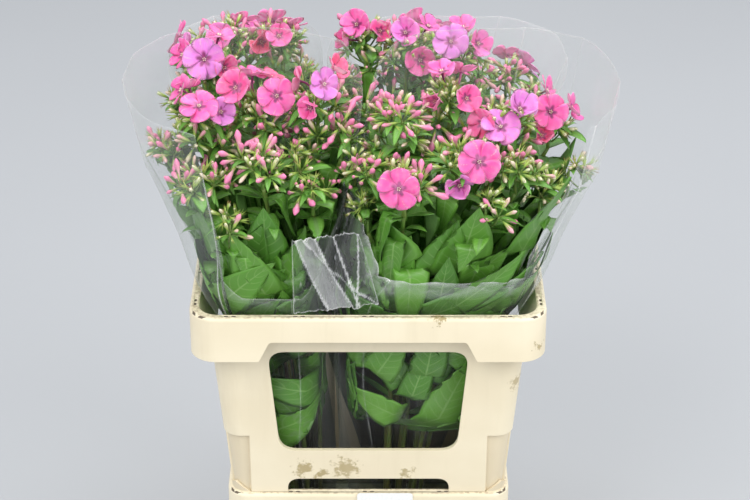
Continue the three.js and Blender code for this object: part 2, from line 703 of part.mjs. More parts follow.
place('bucket', bucket(), colours.cream);
place('collar', collar(), colours.cream);
place('water', water(), colours.water);
place('card', card(), colours.card);
bunches.forEach((bunch, index) => place(`sleeve_${index + 1}`, sleeve(bunch), colours.film));
plants.forEach((plant, index) => {
  place(`stem_${label(index)}`, leafyStem(plant, index), colours.green);
  place(`head_${label(index)}`, flowerHead(plant, index), colours.pink);
});

export default whole;
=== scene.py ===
"""Cut phlox in four clear film sleeves, in a bucket with a windowed collar. Metres, front towards -Y."""

import math

import bmesh
import bpy
import numpy as np
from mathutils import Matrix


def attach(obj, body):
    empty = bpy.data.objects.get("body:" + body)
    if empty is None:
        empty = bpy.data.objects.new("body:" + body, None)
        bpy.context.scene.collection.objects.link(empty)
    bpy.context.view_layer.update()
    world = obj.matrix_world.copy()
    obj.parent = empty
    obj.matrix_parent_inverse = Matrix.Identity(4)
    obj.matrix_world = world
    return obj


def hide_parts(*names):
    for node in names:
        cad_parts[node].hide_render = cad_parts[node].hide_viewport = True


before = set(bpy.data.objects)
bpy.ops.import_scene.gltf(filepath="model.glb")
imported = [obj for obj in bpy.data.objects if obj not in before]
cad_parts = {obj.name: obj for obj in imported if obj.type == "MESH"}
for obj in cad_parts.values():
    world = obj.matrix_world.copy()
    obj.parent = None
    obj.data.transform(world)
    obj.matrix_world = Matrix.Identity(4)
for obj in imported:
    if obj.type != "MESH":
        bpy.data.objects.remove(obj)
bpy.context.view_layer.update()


# ---- Bucket ----
# The tapered storage bucket, injection-moulded in cream polypropylene. Its rim folds out and down into a
# skirt, and a curved upright on each corner of the rim holds the collar that stands on it.

MM = 0.001
TURN = 2 * math.pi
LONGER = 50  # how much further, in mm, every outline reaches front to back than side to side
CORNER_START = 113.4  # from here outwards, side to side, a recessed outline steps in
STEP_RUN = 0.8  # how far that step takes along the side
BUCKET_TOP, COLLAR_TOP, LEDGE = 260, 472, 328.5  # heights of the rims' tops, and of the ledge on the collar
BUCKET_RIM, COLLAR_RIM = 137, 165  # half widths over the rims
BUCKET_SLOTS, COLLAR_SLOTS = 132, 159.8  # how far from the middle, side to side, the slots in the rims lie
SKIRT_LONG, RIM_ROUND = 46, 3.5  # how far down a skirt reaches, and how round a rim's upper edge is


def on_circle(angle):
    """(x, y) at an angle on a circle of radius 1."""
    return np.stack([np.cos(angle), np.sin(angle)], -1)


def at_height(flat, height):
    """(x, y) and a height, as (x, y, z)."""
    return np.concatenate([flat, height[..., None]], -1)


def bezier(start, bend, end, steps):
    """Points along the quadratic curve of each start, bend and end."""
    t = np.linspace(0, 1, steps)[:, None]
    start, bend, end = (value[..., None, :] for value in (start, bend, end))
    return start * (1 - t) ** 2 + 2 * bend * t * (1 - t) + end * t**2


def moulded_quarter(half, radius, recess=0.0, steps=12):
    """A quarter of a rounded rectangle, counterclockwise from +X to +Y: the straight sides lie `half` (and
    LONGER more in Y) from the middle, and what is beyond CORNER_START lies `recess` further in."""
    side, end = half - recess, half + LONGER - recess
    step = min(CORNER_START, half - radius - 2)
    arc = [side - radius, end - radius] + radius * on_circle(np.linspace(0, math.pi / 2, steps + 1))
    before = [[half, step + LONGER], [side, step + LONGER + STEP_RUN]]
    after = [[step + STEP_RUN, end], [step, half + LONGER]]
    return np.concatenate([before, arc, after])


def moulded_rings(profile):
    """Rounded rectangles stacked as a profile of (half width, corner radius, height, recess) says."""
    rings = []
    for half, radius, height, recess in profile:
        quarter = moulded_quarter(half, radius, recess)
        ring = np.concatenate([quarter, quarter[::-1] * [-1, 1], -quarter, quarter[::-1] * [1, -1]])
        rings.append(at_height(ring, np.full(len(ring), height)))
    return np.array(rings)[None] * MM


def closed_bodies(rings, ends=None, is_wall=False):
    """Points and faces of closed bodies, from an array of (bodies, rings, points round a ring, 3): quads from
    ring to ring, and a fan from a point over each end, or quads back to the first ring for a wall."""
    count, stack, sides, _ = rings.shape
    across, after = np.arange(sides), (np.arange(sides) + 1) % sides
    low = (np.arange(stack if is_wall else stack - 1) * sides)[:, None]
    high = (low + sides) % (stack * sides)
    quads = np.stack([low + across, low + after, high + after, high + across], -1).reshape(-1, 4)
    points = rings.reshape(count, -1, 3)
    if is_wall:
        return points.reshape(-1, 3), quads, np.zeros((0, 3), int)
    if ends is None:
        ends = rings[:, [0, -1]].mean(axis=2)
    points = np.concatenate([points, ends], axis=1)
    first, last = stack * sides, (stack - 1) * sides
    fans = np.concatenate([
        np.stack([np.full(sides, first), after, across], -1),
        np.stack([np.full(sides, first + 1), last + across, last + after], -1),
    ])
    start = (np.arange(count) * (first + 2))[:, None, None]
    return points.reshape(-1, 3), (quads + start).reshape(-1, 4), (fans + start).reshape(-1, 3)


def new_piece(name, points, quads, triangles, skins):
    """One object at the origin from points, quads and triangles, each with its skin's number in column 0."""
    corners = np.concatenate([quads[:, 1:].ravel(), triangles[:, 1:].ravel()]).astype(np.int32)
    totals = np.concatenate([np.full(len(quads), 4), np.full(len(triangles), 3)]).astype(np.int32)
    mesh = bpy.data.meshes.new(name)
    mesh.vertices.add(len(points))
    mesh.vertices.foreach_set("co", points.astype(np.float32).ravel())
    mesh.loops.add(len(corners))
    mesh.loops.foreach_set("vertex_index", corners)
    mesh.polygons.add(len(totals))
    mesh.polygons.foreach_set("loop_start", (np.cumsum(totals) - totals).astype(np.int32))
    mesh.polygons.foreach_set("loop_total", totals)
    which = np.concatenate([quads[:, 0], triangles[:, 0]])
    mesh.polygons.foreach_set("material_index", which.astype(np.int32))
    mesh.update(calc_edges=True)
    for skin in skins:
        mesh.materials.append(skin)
    piece = bpy.data.objects.new(name, mesh)
    bpy.context.scene.collection.objects.link(piece)
    return piece


def moulded_piece(name, rings, skins=(), **how):
    """One object from closed bodies that all have the first skin."""
    points, quads, triangles = closed_bodies(rings, **how)
    return new_piece(name, points, np.insert(quads, 0, 0, 1), np.insert(triangles, 0, 0, 1), skins)


def outwards(piece):
    """Turns every face of a piece to look out of it."""
    shape = bmesh.new()
    shape.from_mesh(piece.data)
    bmesh.ops.recalc_face_normals(shape, faces=shape.faces)
    shape.to_mesh(piece.data)
    shape.free()
    return piece


def settled(piece):
    """Applies a piece's modifiers to its mesh."""
    graph = bpy.context.evaluated_depsgraph_get()
    mesh = bpy.data.meshes.new_from_object(piece.evaluated_get(graph))
    piece.modifiers.clear()
    piece.data = mesh
    return piece


def cut_with(piece, tool, operation="DIFFERENCE"):
    """Cuts a piece with a tool, or joins the tool to it, and takes the tool away."""
    change = piece.modifiers.new("cut", "BOOLEAN")
    change.operation, change.solver, change.object = operation, "MANIFOLD", outwards(tool)
    settled(piece)
    bpy.data.objects.remove(tool)
    return piece


def rounded_trapezoid(low, high, low_half, high_half, radius, steps=6):
    """An upright trapezoid with round corners, counterclockwise, as points (across, height). A corner is the
    quadratic curve that leaves one side and meets the next a radius from where the two would cross."""
    corners = np.array([[low_half, low], [high_half, high], [-high_half, high], [-low_half, low]], float)
    before = np.roll(corners, 1, 0) - corners
    after = np.roll(corners, -1, 0) - corners
    start = corners + radius * before / np.linalg.norm(before, axis=1, keepdims=True)
    end = corners + radius * after / np.linalg.norm(after, axis=1, keepdims=True)
    return bezier(start, corners, end, steps + 1).reshape(-1, 2)


def prisms(outlines):
    """Closed bars from (outline, first distance, last distance, is it turned) each: the outline stands
    upright and runs along Y, or along X where it is turned."""
    rings = []
    for shape, first, last, turned in outlines:
        across, height = shape.T
        ends = [np.stack([across, np.full(len(shape), at), height], 1) for at in (first, last)]
        rings.append(np.array(ends)[..., [1, 0, 2] if turned else [0, 1, 2]])
    return np.array(rings) * MM


SKIRT_CUT, SKIRT_LEFT, SKIRT_SLANT = 52, 25.3, 13  # down to where the cut goes, what it leaves, its slant


def skirt_gaps(rim, top):
    """The middle of the skirt is cut short on every side, with slanted ends."""
    gaps = []
    for turned in (False, True):
        half = rim * 0.55 + (LONGER if turned else 0)
        reach = rim + (0 if turned else LONGER)
        shape = rounded_trapezoid(top - SKIRT_CUT, top - SKIRT_LEFT, half + SKIRT_SLANT, half, 3)
        gaps += [(shape, side * reach - 4.5, side * reach + 4.5, turned) for side in (-1, 1)]
    return moulded_piece("gaps", prisms(gaps))


SLOT_HALF, SLOT_DEEP = (2.1, 1.3), 1.6  # along and across the rim, and down into it
SLOT_OFF = 3.45  # from the middle of a pair to the middle of each slot


def slot_pairs(off, top, along_x, along_y):
    """Pairs of shallow slots in a rim's flat top, so far off the middle, at these places along the sides."""
    centres = [(x, side * (off + LONGER), 0) for x in along_x for side in (-1, 1)]
    centres += [(side * off, y, 1) for y in along_y for side in (-1, 1)]
    x, y, turned = np.repeat(np.array(centres, float), 2, 0).T
    apart = np.tile([-SLOT_OFF, SLOT_OFF], len(centres))
    x, y = x + np.where(turned, 0, apart), y + np.where(turned, apart, 0)
    half_x, half_y = np.where(turned, SLOT_HALF[1], SLOT_HALF[0]), np.where(turned, *SLOT_HALF)
    corner = np.array([[1, 0.5], [0.5, 1], [-0.5, 1], [-1, 0.5]])
    corner = np.concatenate([corner, -corner])
    rings = np.zeros((len(x), 2, 8, 3))
    rings[..., 0] = x[:, None, None] + half_x[:, None, None] * corner[:, 0]
    rings[..., 1] = y[:, None, None] + half_y[:, None, None] * corner[:, 1]
    rings[..., 2] = np.array([top - SLOT_DEEP, top + 2])[None, :, None]
    return moulded_piece("slots", rings * MM)


def finish_moulding(piece, rounding=1.0):
    """Rounds every sharp edge of a moulding and shades it smoothly, as a mould with radiused edges does."""
    edge = piece.modifiers.new("edge", "BEVEL")
    edge.width, edge.segments, edge.limit_method = rounding * MM, 3, "ANGLE"
    edge.angle_limit, edge.use_clamp_overlap = math.radians(40), True
    settled(piece)
    piece.data.shade_smooth()
    piece.data.set_sharp_from_angle(angle=math.radians(32))
    even = piece.modifiers.new("even", "WEIGHTED_NORMAL")
    even.keep_sharp = True
    return settled(piece)


def rim_over(half, radius, top):
    """The profile over a rim's outer top edge, a quarter circle of RIM_ROUND."""
    turn = np.radians([0, 25, 50, 75, 90])
    inward = RIM_ROUND * (1 - np.cos(turn))
    height = top - RIM_ROUND * (1 - np.sin(turn))
    return [(half - i, radius - i, z, 0) for i, z in zip(inward, height)]


skirt_foot = BUCKET_TOP - SKIRT_LONG
bucket = moulded_piece("bucket_shell", moulded_rings([
    (102, 12, 0, 0), (105.6, 13, 1.2, 0), (107.2, 14, 4, 0), (119, 16, skirt_foot, 0), (130.5, 17, 255, 0),
    (BUCKET_RIM - 3, 18, 255, 0), (BUCKET_RIM - 3, 18, skirt_foot, 0), (BUCKET_RIM, 20, skirt_foot, 0),
    *rim_over(BUCKET_RIM, 20, BUCKET_TOP), (127.5, 14, BUCKET_TOP, 0), (116, 13, skirt_foot, 0),
    (104.2, 11, 3, 0),
]))
cut_with(bucket, skirt_gaps(BUCKET_RIM, BUCKET_TOP))


def corner_uprights():
    """A curved plate on each corner of the rim, 2.7 mm thick, whose top slopes up towards the corner. Its
    faces run round the corner without the outline's step, and its ends stand clear of the collar."""
    outer, inner = (np.delete(moulded_quarter(*size), [1, -2], 0) for size in ((132.98, 16), (130.28, 13.3)))
    for face in (outer, inner):
        face[0, 1] += 1.2
        face[-1, 0] += 1.2
    rise = np.minimum(outer[:, 0] - CORNER_START, outer[:, 1] - CORNER_START - LONGER).clip(0)
    low = np.full(len(outer), BUCKET_TOP - 1.0)
    high = BUCKET_TOP + 0.1 + 0.72 * rise
    spread = (1 + (high - BUCKET_TOP) * 0.085 / 150)[:, None]
    plate = np.stack([at_height(inner, low), at_height(outer, low),
                      at_height(outer * spread, high), at_height(inner * spread, high)], 1)
    mirrors = np.array([[1, 1, 1], [-1, 1, 1], [-1, -1, 1], [1, -1, 1]])
    return moulded_piece("uprights", plate[None] * mirrors[:, None, None] * MM)


cut_with(bucket, corner_uprights(), "UNION")
finish_moulding(bucket)
cut_with(bucket, slot_pairs(BUCKET_SLOTS, BUCKET_TOP, (-72, 0, 72), (-110, -37, 37, 110)))


class Value:
    """An output of a shader node. Reckoning with it adds Math nodes, and `|` takes the larger of two."""

    def __init__(self, socket):
        self.socket, self.tree = socket, socket.id_data

    def math(self, operation, other=0.0):
        """The result of any operation that Math nodes know."""
        return node(self.tree, "Math", self, other, operation=operation)

    def __add__(self, other):
        return self.math("ADD", other)

    def __sub__(self, other):
        return self.math("SUBTRACT", other)

    def __mul__(self, other):
        return self.math("MULTIPLY", other)

    def __pow__(self, other):
        return self.math("POWER", other)

    def __or__(self, other):
        return self.math("MAXIMUM", other)

    def __abs__(self):
        return self.math("ABSOLUTE")


def fill(socket, value):
    """Links a value to an input, or sets the input to a number, a vector or a colour."""
    if isinstance(value, Value):
        value.tree.links.new(value.socket, socket)
    elif value is not None:
        socket.default_value = (*value, 1) if socket.type == "RGBA" else value


def node(tree, kind, *inputs, out=0, **settings):
    """Adds a shader node with these settings, fills its inputs in order, and gives one of its outputs."""
    made = tree.nodes.new("ShaderNode" + kind)
    for key, value in settings.items():
        setattr(made, key, value)
    for socket, value in zip(made.inputs, inputs):
        fill(socket, value)
    return Value(made.outputs[out])


def split(vector):
    """The x, y and z of a vector."""
    return [Value(end) for end in node(vector.tree, "SeparateXYZ", vector).socket.node.outputs]


def blended(part, first, second):
    """The first colour, going over to the second as the part goes from 0 to 1."""
    return node(part.tree, "Mix", part, *[None] * 5, first, second, out=2, data_type="RGBA")


def ramp(value, low, high, to_low=0.0, to_high=1.0):
    """A smooth step from to_low to to_high while the value goes from low to high."""
    return node(value.tree, "MapRange", value, low, high, to_low, to_high, interpolation_type="SMOOTHSTEP")


def noise(place, scale, detail=4.0, rough=0.5):
    """Clouds from 0 to 1 round a half, with so many of them in a metre."""
    return node(place.tree, "TexNoise", place, None, scale, detail, rough)


def feed(surface, **inputs):
    """Fills inputs of a shader, whose names have _ for each space."""
    for key, value in inputs.items():
        fill(surface.inputs[key.replace("_", " ")], value)


def new_finish(name, **plain):
    """A material, its node tree, and its Principled BSDF with these plain values."""
    finish = bpy.data.materials.new(name)
    finish.use_nodes = True
    surface = finish.node_tree.nodes["Principled BSDF"]
    feed(surface, **plain)
    return finish, finish.node_tree, surface


# Cream polypropylene, satin and slightly uneven, with yard grime along its edges, grime and painted shade in
# the rim's slots, brown painted shade on the recessed corner panels, and greenish dried splashes on the band
# under the window.
cream_plastic, tree, surface = new_finish("cream_plastic", IOR=1.49)
place = node(tree, "TexCoord", out="Object")
x, y, z = split(place)
far_x, far_y = abs(x), abs(y)
facing_up = split(node(tree, "NewGeometry", out="Normal"))[2]
broad, fine, ragged = noise(place, 9.0), noise(place, 240.0, 3.0, 0.6), noise(place, 150.0, 6.0, 0.7)
colour = blended(ramp(broad, 0.35, 0.65), (0.80, 0.70, 0.50), (0.86, 0.765, 0.565))


def between(value, low, high, soft):
    """1 where a length lies between low and high in mm, going down to 0 over so much more."""
    return ramp(value, (low - soft) * MM, low * MM) * ramp(value, high * MM, (high + soft) * MM, 1.0, 0.0)


def in_slots(off, top):
    """1 inside the slots of a rim, which lie so far off the middle, side to side, under its top."""
    at_sides = between(far_x, off - 1.4, off + 1.4, 0.2)
    at_ends = between(far_y, off + LONGER - 1.4, off + LONGER + 1.4, 0.2)
    return (at_sides | at_ends) * between(z, top - 1.7, top - 0.3, 0.1)


rim_tops = between(z, COLLAR_TOP - 3, COLLAR_TOP + 2, 2) | between(z, BUCKET_TOP - 3, BUCKET_TOP + 1, 2)
rim_grime = rim_tops * ramp(fine, 0.42, 0.66) * (ramp(facing_up, 0.75, 0.95) * 0.5)
# Inside the rims' slots the plastic goes almost black: grime, and painted shade in the recess.
slot_grime_and_shade = (in_slots(COLLAR_SLOTS, COLLAR_TOP) | in_slots(BUCKET_SLOTS, BUCKET_TOP)) * 0.9
colour = blended(rim_grime, colour, (0.25, 0.16, 0.08))
colour = blended(slot_grime_and_shade, colour, (0.05, 0.03, 0.018))
STAINS = [  # middle, radius, and how strong the stain is, in mm
    ((-62.6, -185, 289), 10, 0.75), ((-46, -185, 283), 5.5, 0.8), ((-22, -185, 291), 13, 0.7),
    ((37, -185, 284), 5.5, 0.7), ((64, -213, 472), 6, 0.8), ((141, -188, 387), 9, 0.6),
    ((157, -206, 441), 4.5, 0.7), ((-120, 190, 300), 12, 0.5), ((60, 188, 290), 9, 0.45),
    ((-164, 60, 452), 6, 0.5), ((164, 120, 446), 7, 0.5), ((-138, -60, 296), 10, 0.5),
]
for middle, radius, strength in STAINS:
    away = node(tree, "VectorMath", place, [v * MM for v in middle], out=1, operation="DISTANCE")
    mask = ramp(away + ragged * 0.050, (0.6 * radius + 23) * MM, (radius + 25) * MM, strength, 0.0)
    colour = blended(mask, colour, (0.34, 0.25, 0.085))
# Painted shade: the recessed corner panels between the bucket's rim and the collar's ledge are darkened
# towards brown.
beyond_x = ramp(far_x, CORNER_START * MM, (CORNER_START + 1) * MM)
beyond_y = ramp(far_y, (CORNER_START + LONGER) * MM, (CORNER_START + LONGER + 1) * MM)
painted_corner_shade = beyond_x * beyond_y * between(z, BUCKET_TOP + 2, LEDGE - 2, 1.5)
colour = blended(painted_corner_shade * 0.4, colour, (0.55, 0.44, 0.28))
foot_dust = ramp(z, 0.0, 0.09, 0.5, 0.0) * ramp(ragged, 0.4, 0.7)
colour = blended(foot_dust, colour, (0.42, 0.36, 0.26))
streaks = noise(node(tree, "VectorMath", place, (60.0, 60.0, 4.0), operation="MULTIPLY"), 1.0, 4.0, 0.6)
colour = blended(ramp(streaks, 0.5, 0.8, 0.0, 0.22), colour, (0.62, 0.53, 0.35))
roughness = ramp(broad, 0.3, 0.7, 0.36, 0.48) + (rim_grime | slot_grime_and_shade) * 0.3
feed(surface, Base_Color=colour, Roughness=roughness)

bucket.data.materials.clear()
bucket.data.materials.append(cream_plastic)
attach(bucket, "root")
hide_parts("bucket")


# ---- Collar ----
# The stacking collar in the same cream plastic: a tapered frame with a large rounded window and a low notch
# in each side. It stands on the bucket's rim, and its corners step in below the ledge so that it nests.

COLLAR_FOOT, SKIRT_FOOT = BUCKET_TOP + 0.3, COLLAR_TOP - SKIRT_LONG


def collar_half(height):
    """Half the collar's width outside at a height, without the rim: its walls lean out."""
    return 151 - 0.085 * (COLLAR_TOP - height)


collar = moulded_piece("collar_shell", moulded_rings([
    (collar_half(COLLAR_FOOT), 13, COLLAR_FOOT, 3), (collar_half(LEDGE - 0.8), 15, LEDGE - 0.8, 3),
    (collar_half(LEDGE), 17, LEDGE, 0), (collar_half(SKIRT_FOOT), 20, SKIRT_FOOT, 0), (154, 21, 452, 0),
    (158.5, 22, 467, 0), (COLLAR_RIM - 3, 22, 467, 0), (COLLAR_RIM - 3, 22, SKIRT_FOOT, 0),
    (COLLAR_RIM, 25, SKIRT_FOOT, 0), *rim_over(COLLAR_RIM, 25, COLLAR_TOP),
    (157.5, 20, COLLAR_TOP, 0), (156, 18.5, 471.4, 0), (155.5, 18, 470, 0),
    (collar_half(SKIRT_FOOT) - 3, 17, SKIRT_FOOT, 0), (collar_half(332.5) - 3, 15, 332.5, 0),
    (collar_half(324.5) - 5, 13, 324.5, 0), (collar_half(COLLAR_FOOT) - 5, 12, COLLAR_FOOT, 0),
]), is_wall=True)
cut_with(collar, skirt_gaps(COLLAR_RIM, COLLAR_TOP))
for name, low, high, low_half, high_half, radius in (
    ("windows", 310.6, 426.3, 84.5, 94, 17), ("notches", 240, 276.4, 78, 78, 12),
):
    bars = []
    for turned, through, more in ((False, 260, 0), (True, 240, LONGER)):
        shape = rounded_trapezoid(low, high, low_half + more, high_half + more, radius, 8)
        bars.append((shape, -through, through, turned))
    cut_with(collar, moulded_piece(name, prisms(bars)))
finish_moulding(collar, 1.2)
slots = slot_pairs(COLLAR_SLOTS, COLLAR_TOP, (-126.5, -63.2, 0, 63.2, 126.5), np.arange(-183, 184, 61))
cut_with(collar, slots)
collar.data.materials.clear()
collar.data.materials.append(cream_plastic)
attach(collar, "root")
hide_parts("collar")


# ---- Water ----
# About a third of the bucket is filled with water, slightly green from the stems that stand in it. It keeps
# the shape of its solid, and only its look is made here.

pond_water, tree, surface = new_finish("pond_water", Roughness=0.03, IOR=1.333, Transmission_Weight=1.0)
silt = ramp(noise(node(tree, "TexCoord", out="Object"), 14.0), 0.35, 0.75)
feed(surface, Base_Color=blended(silt, (0.86, 0.93, 0.88), (0.70, 0.82, 0.70)))
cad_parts["water"].data.materials.clear()
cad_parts["water"].data.materials.append(pond_water)


# ---- Card ----
# A blank white card, 54 x 36 mm with round corners, hangs on the front of the bucket's skirt, bowed a little
# away from it.

CARD_HALF, CARD_MIDDLE, CARD_ROUND, CARD_THICK = np.array([27, 18]), np.array([16, 244]), 3, 0.35
corner = on_circle(np.linspace(0, TURN, 48, endpoint=False) + math.pi / 48)
card_edge = np.sign(corner) * (CARD_HALF - CARD_ROUND) + CARD_ROUND * corner
rings = []
for back, shares in ((0.0, (0.02, 0.5, 1.0)), (CARD_THICK, (1.0, 0.5, 0.02))):
    for share in shares:
        across, height = (card_edge * share).T
        bow = 0.25 * (1 - (across / CARD_HALF[0]) ** 2) - 0.05
        rings.append(np.stack([CARD_MIDDLE[0] + across, -188.1 + bow + back, CARD_MIDDLE[1] + height], 1))
card = outwards(moulded_piece("blank_card", np.array(rings)[None] * MM))
card.data.shade_smooth()
card.data.set_sharp_from_angle(angle=math.radians(40))
white_card, tree, surface = new_finish("white_card", Roughness=0.55)
pulp = noise(node(tree, "TexCoord", out="Object"), 420.0, 5.0, 0.6)
feed(surface, Base_Color=blended(ramp(pulp, 0.3, 0.7), (0.83, 0.83, 0.80), (0.90, 0.90, 0.88)))
card.data.materials.append(white_card)
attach(card, "root")
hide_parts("card")


# ---- Sleeves ----
# Each bunch stands in a sleeve of clear polypropylene film, welded along its sides. It is narrow at the foot,
# leans on the collar's rim and flares open above it. Handling has creased it, most of all along its mouth.

FILM_LEVELS = np.array([100, 265, 430, 470, 600, 680.0])
WAVE, FILM = 6.5, 0.12  # how far the walls between bunches are pushed aside, and the film's thickness
# Each bunch: where it stands, the middle of its heads, on which side its outer weld runs, the left, right,
# front and back of its film at each level, its mouth's height at these angles, the creases with how sharp
# each is, and how much its mouth is crumpled where it is low.
BUNCHES = [
    {"foot": (-66, -82), "middle": (-120, -120), "outer": -1,
     "sides": [(-100, -32, -116, -48), (-118, -40, -168, -3), (-136, -40, -186, -3),
               (-154.4, -40, -204.4, -3), (-210, -10, -240, -3), (-225, -2, -252, -3)],
     "mouth": [(0, 655), (40, 668), (90, 672), (180, 671), (251, 669), (255, 510), (266, 490), (300, 484),
               (325, 500), (345, 590), (360, 655)],
     "folds": [(0, 0.3), (44, 0.3), (104, 0.5), (180, 0.8), (252, 0.9), (284, 0.5)], "crumpled": 0.35},
    {"foot": (32, -82), "middle": (95, -130), "outer": 1,
     "sides": [(0, 66, -116, -48), (-36, 118, -168, -3), (-36, 136, -186, -3),
               (-36, 154.4, -204.4, -3), (-6, 216, -250, -3), (2, 229, -270, -3)],
     "mouth": [(0, 672), (90, 672), (140, 668), (165, 640), (185, 596), (205, 560), (222, 538), (240, 512),
               (270, 507), (306, 508), (315, 668), (325, 672), (360, 672)],
     "folds": [(0, 1.0), (46, 0.4), (80, 0.5), (150, 0.4), (196, 0.8), (250, 0.4), (318, 1.0), (338, 0.7)],
     "crumpled": 1.0},
    {"foot": (-66, 82), "middle": (-120, 110), "outer": 0,
     "sides": [(-100, -34, 48, 116), (-118, -44, 3, 168), (-136, -45, 3, 186),
               (-154.4, -46, 3, 204.4), (-208, -47, 3, 234), (-222, -47, 3, 244)],
     "mouth": [(0, 590), (180, 592), (230, 580), (300, 580), (360, 590)],
     "folds": [(0, 0.7), (62, 0.5), (112, 0.5), (180, 0.8), (270, 0.3)], "crumpled": 0.6},
    {"foot": (32, 82), "middle": (60, 95), "outer": 0,
     "sides": [(0, 66, 48, 116), (-40, 118, 3, 168), (-41, 136, 3, 186),
               (-42, 154.4, 3, 204.4), (-43, 208, 3, 234), (-43, 222, 3, 244)],
     "mouth": [(0, 590), (180, 592), (240, 580), (310, 580), (360, 590)],
     "folds": [(0, 0.8), (70, 0.5), (124, 0.5), (180, 0.7), (280, 0.3)], "crumpled": 0.6},
]


def ramp_of(value, low, high):
    """A smooth step from 0 to 1 while the value goes from low to high."""
    part = np.clip((value - low) / (high - low), 0, 1)
    return part * part * (3 - 2 * part)


def jostled(x, y, height):
    """The bunches press a wave into the walls between them, below the flare: WAVE cos(pi (|y| - 94) / 115)
    into those between left and right, and WAVE cos(pi (x - middle) / length) into those between front and
    back, with a middle and a length for the left and the right bunches."""
    is_left = x < -38
    middle, length = np.where(is_left, -88, 50), np.where(is_left, 60, 108)
    part = (1 - ramp_of(height, 500, 560)) * ramp_of(height, 150, 240) * WAVE
    aside = -np.sign(y) * np.cos(math.pi * (np.abs(y) - 94) / 115) * np.exp(-(((x + 40) / 30) ** 2))
    along = np.where(is_left, 1, -1) * np.cos(math.pi * (x - middle) / length) * np.exp(-((y / 30) ** 2))
    return np.stack([x + aside * part, y + along * part], -1)


def squareness(bunch, angle, height):
    """The n of |x|^n + |y|^n = 1: 3 in the bucket, 4.5 where the bunch fills the collar's corners, 3 above
    the rim, and there 2 in front of the outer weld."""
    in_front = (np.sin(angle) < 0) & (np.cos(angle) * bunch["outer"] > 0)
    filled = ramp_of(height, 290, 390) * (1 - ramp_of(height, 475, 540))
    return 3 + 1.5 * filled - in_front * ramp_of(height, 470, 600)


def film_box(bunch, height):
    """The left, right, front and back of a sleeve at a height. Each side is straight from level to level."""
    level = np.clip(np.searchsorted(FILM_LEVELS, height) - 1, 0, len(FILM_LEVELS) - 2)
    part = (height - FILM_LEVELS[level]) / (FILM_LEVELS[level + 1] - FILM_LEVELS[level])
    sides = np.array(bunch["sides"], float)
    return np.moveaxis(sides[level] + (sides[level + 1] - sides[level]) * part[..., None], -1, 0)


def film_outline(bunch, angle, height, inset=0.0):
    """Points (x, y) of a sleeve: |x|^n + |y|^n = 1 between the film's four sides at that height."""
    left, right, front, back = film_box(bunch, height)
    power = 2 / squareness(bunch, angle, height)
    cos, sin = (np.sign(value) * np.abs(value) ** power for value in (np.cos(angle), np.sin(angle)))
    return jostled((left + right) / 2 + ((right - left) / 2 - inset) * cos,
                   (front + back) / 2 + ((back - front) / 2 - inset) * sin, height)


PULL = 2.6  # how far creases can pull the film in, in mm


def pulled_flat(bunch, angle, height):
    """The outline as the film takes it: from crease to crease it is pulled towards the straight line between
    them, by up to PULL."""
    creases = np.radians([at for at, _ in bunch["folds"]])
    after = np.searchsorted(creases, angle) % len(creases)
    first, last = creases[after - 1], creases[after]
    part = (((angle - first) % TURN) / ((last - first) % TURN))[..., None]
    outline = film_outline(bunch, angle, height)
    chord = film_outline(bunch, first, height) * (1 - part) + film_outline(bunch, last, height) * part
    length = np.maximum(np.linalg.norm(chord - outline, axis=-1, keepdims=True), 1e-6)
    return outline + (chord - outline) * PULL * (1 - np.exp(-length / PULL)) / length


def ridges(angle, height, seed):
    """Crumpled relief from 0 to 1: the smallest distances of slanted sine waves from their crests, summed at
    rising frequencies."""
    draw = np.random.default_rng(seed)
    total, weight = np.zeros(np.broadcast(angle, height).shape), 0.0
    for octave in range(5):
        turns = np.round(2 + 2.6 * octave + draw.uniform(0, 2))
        slant, phase, wobble = draw.uniform(-1, 1) * 0.05, draw.uniform(0, 6.3), draw.uniform(0, 6.3)
        wave = np.sin(turns * angle + slant * (octave + 1) * height + phase
                      + 0.7 * np.sin(0.021 * (octave + 1) * height + wobble))
        total += (1 - np.abs(wave)) ** 2 / (1 + octave * 0.55)
        weight += 1 / (1 + octave * 0.55)
    return total / weight


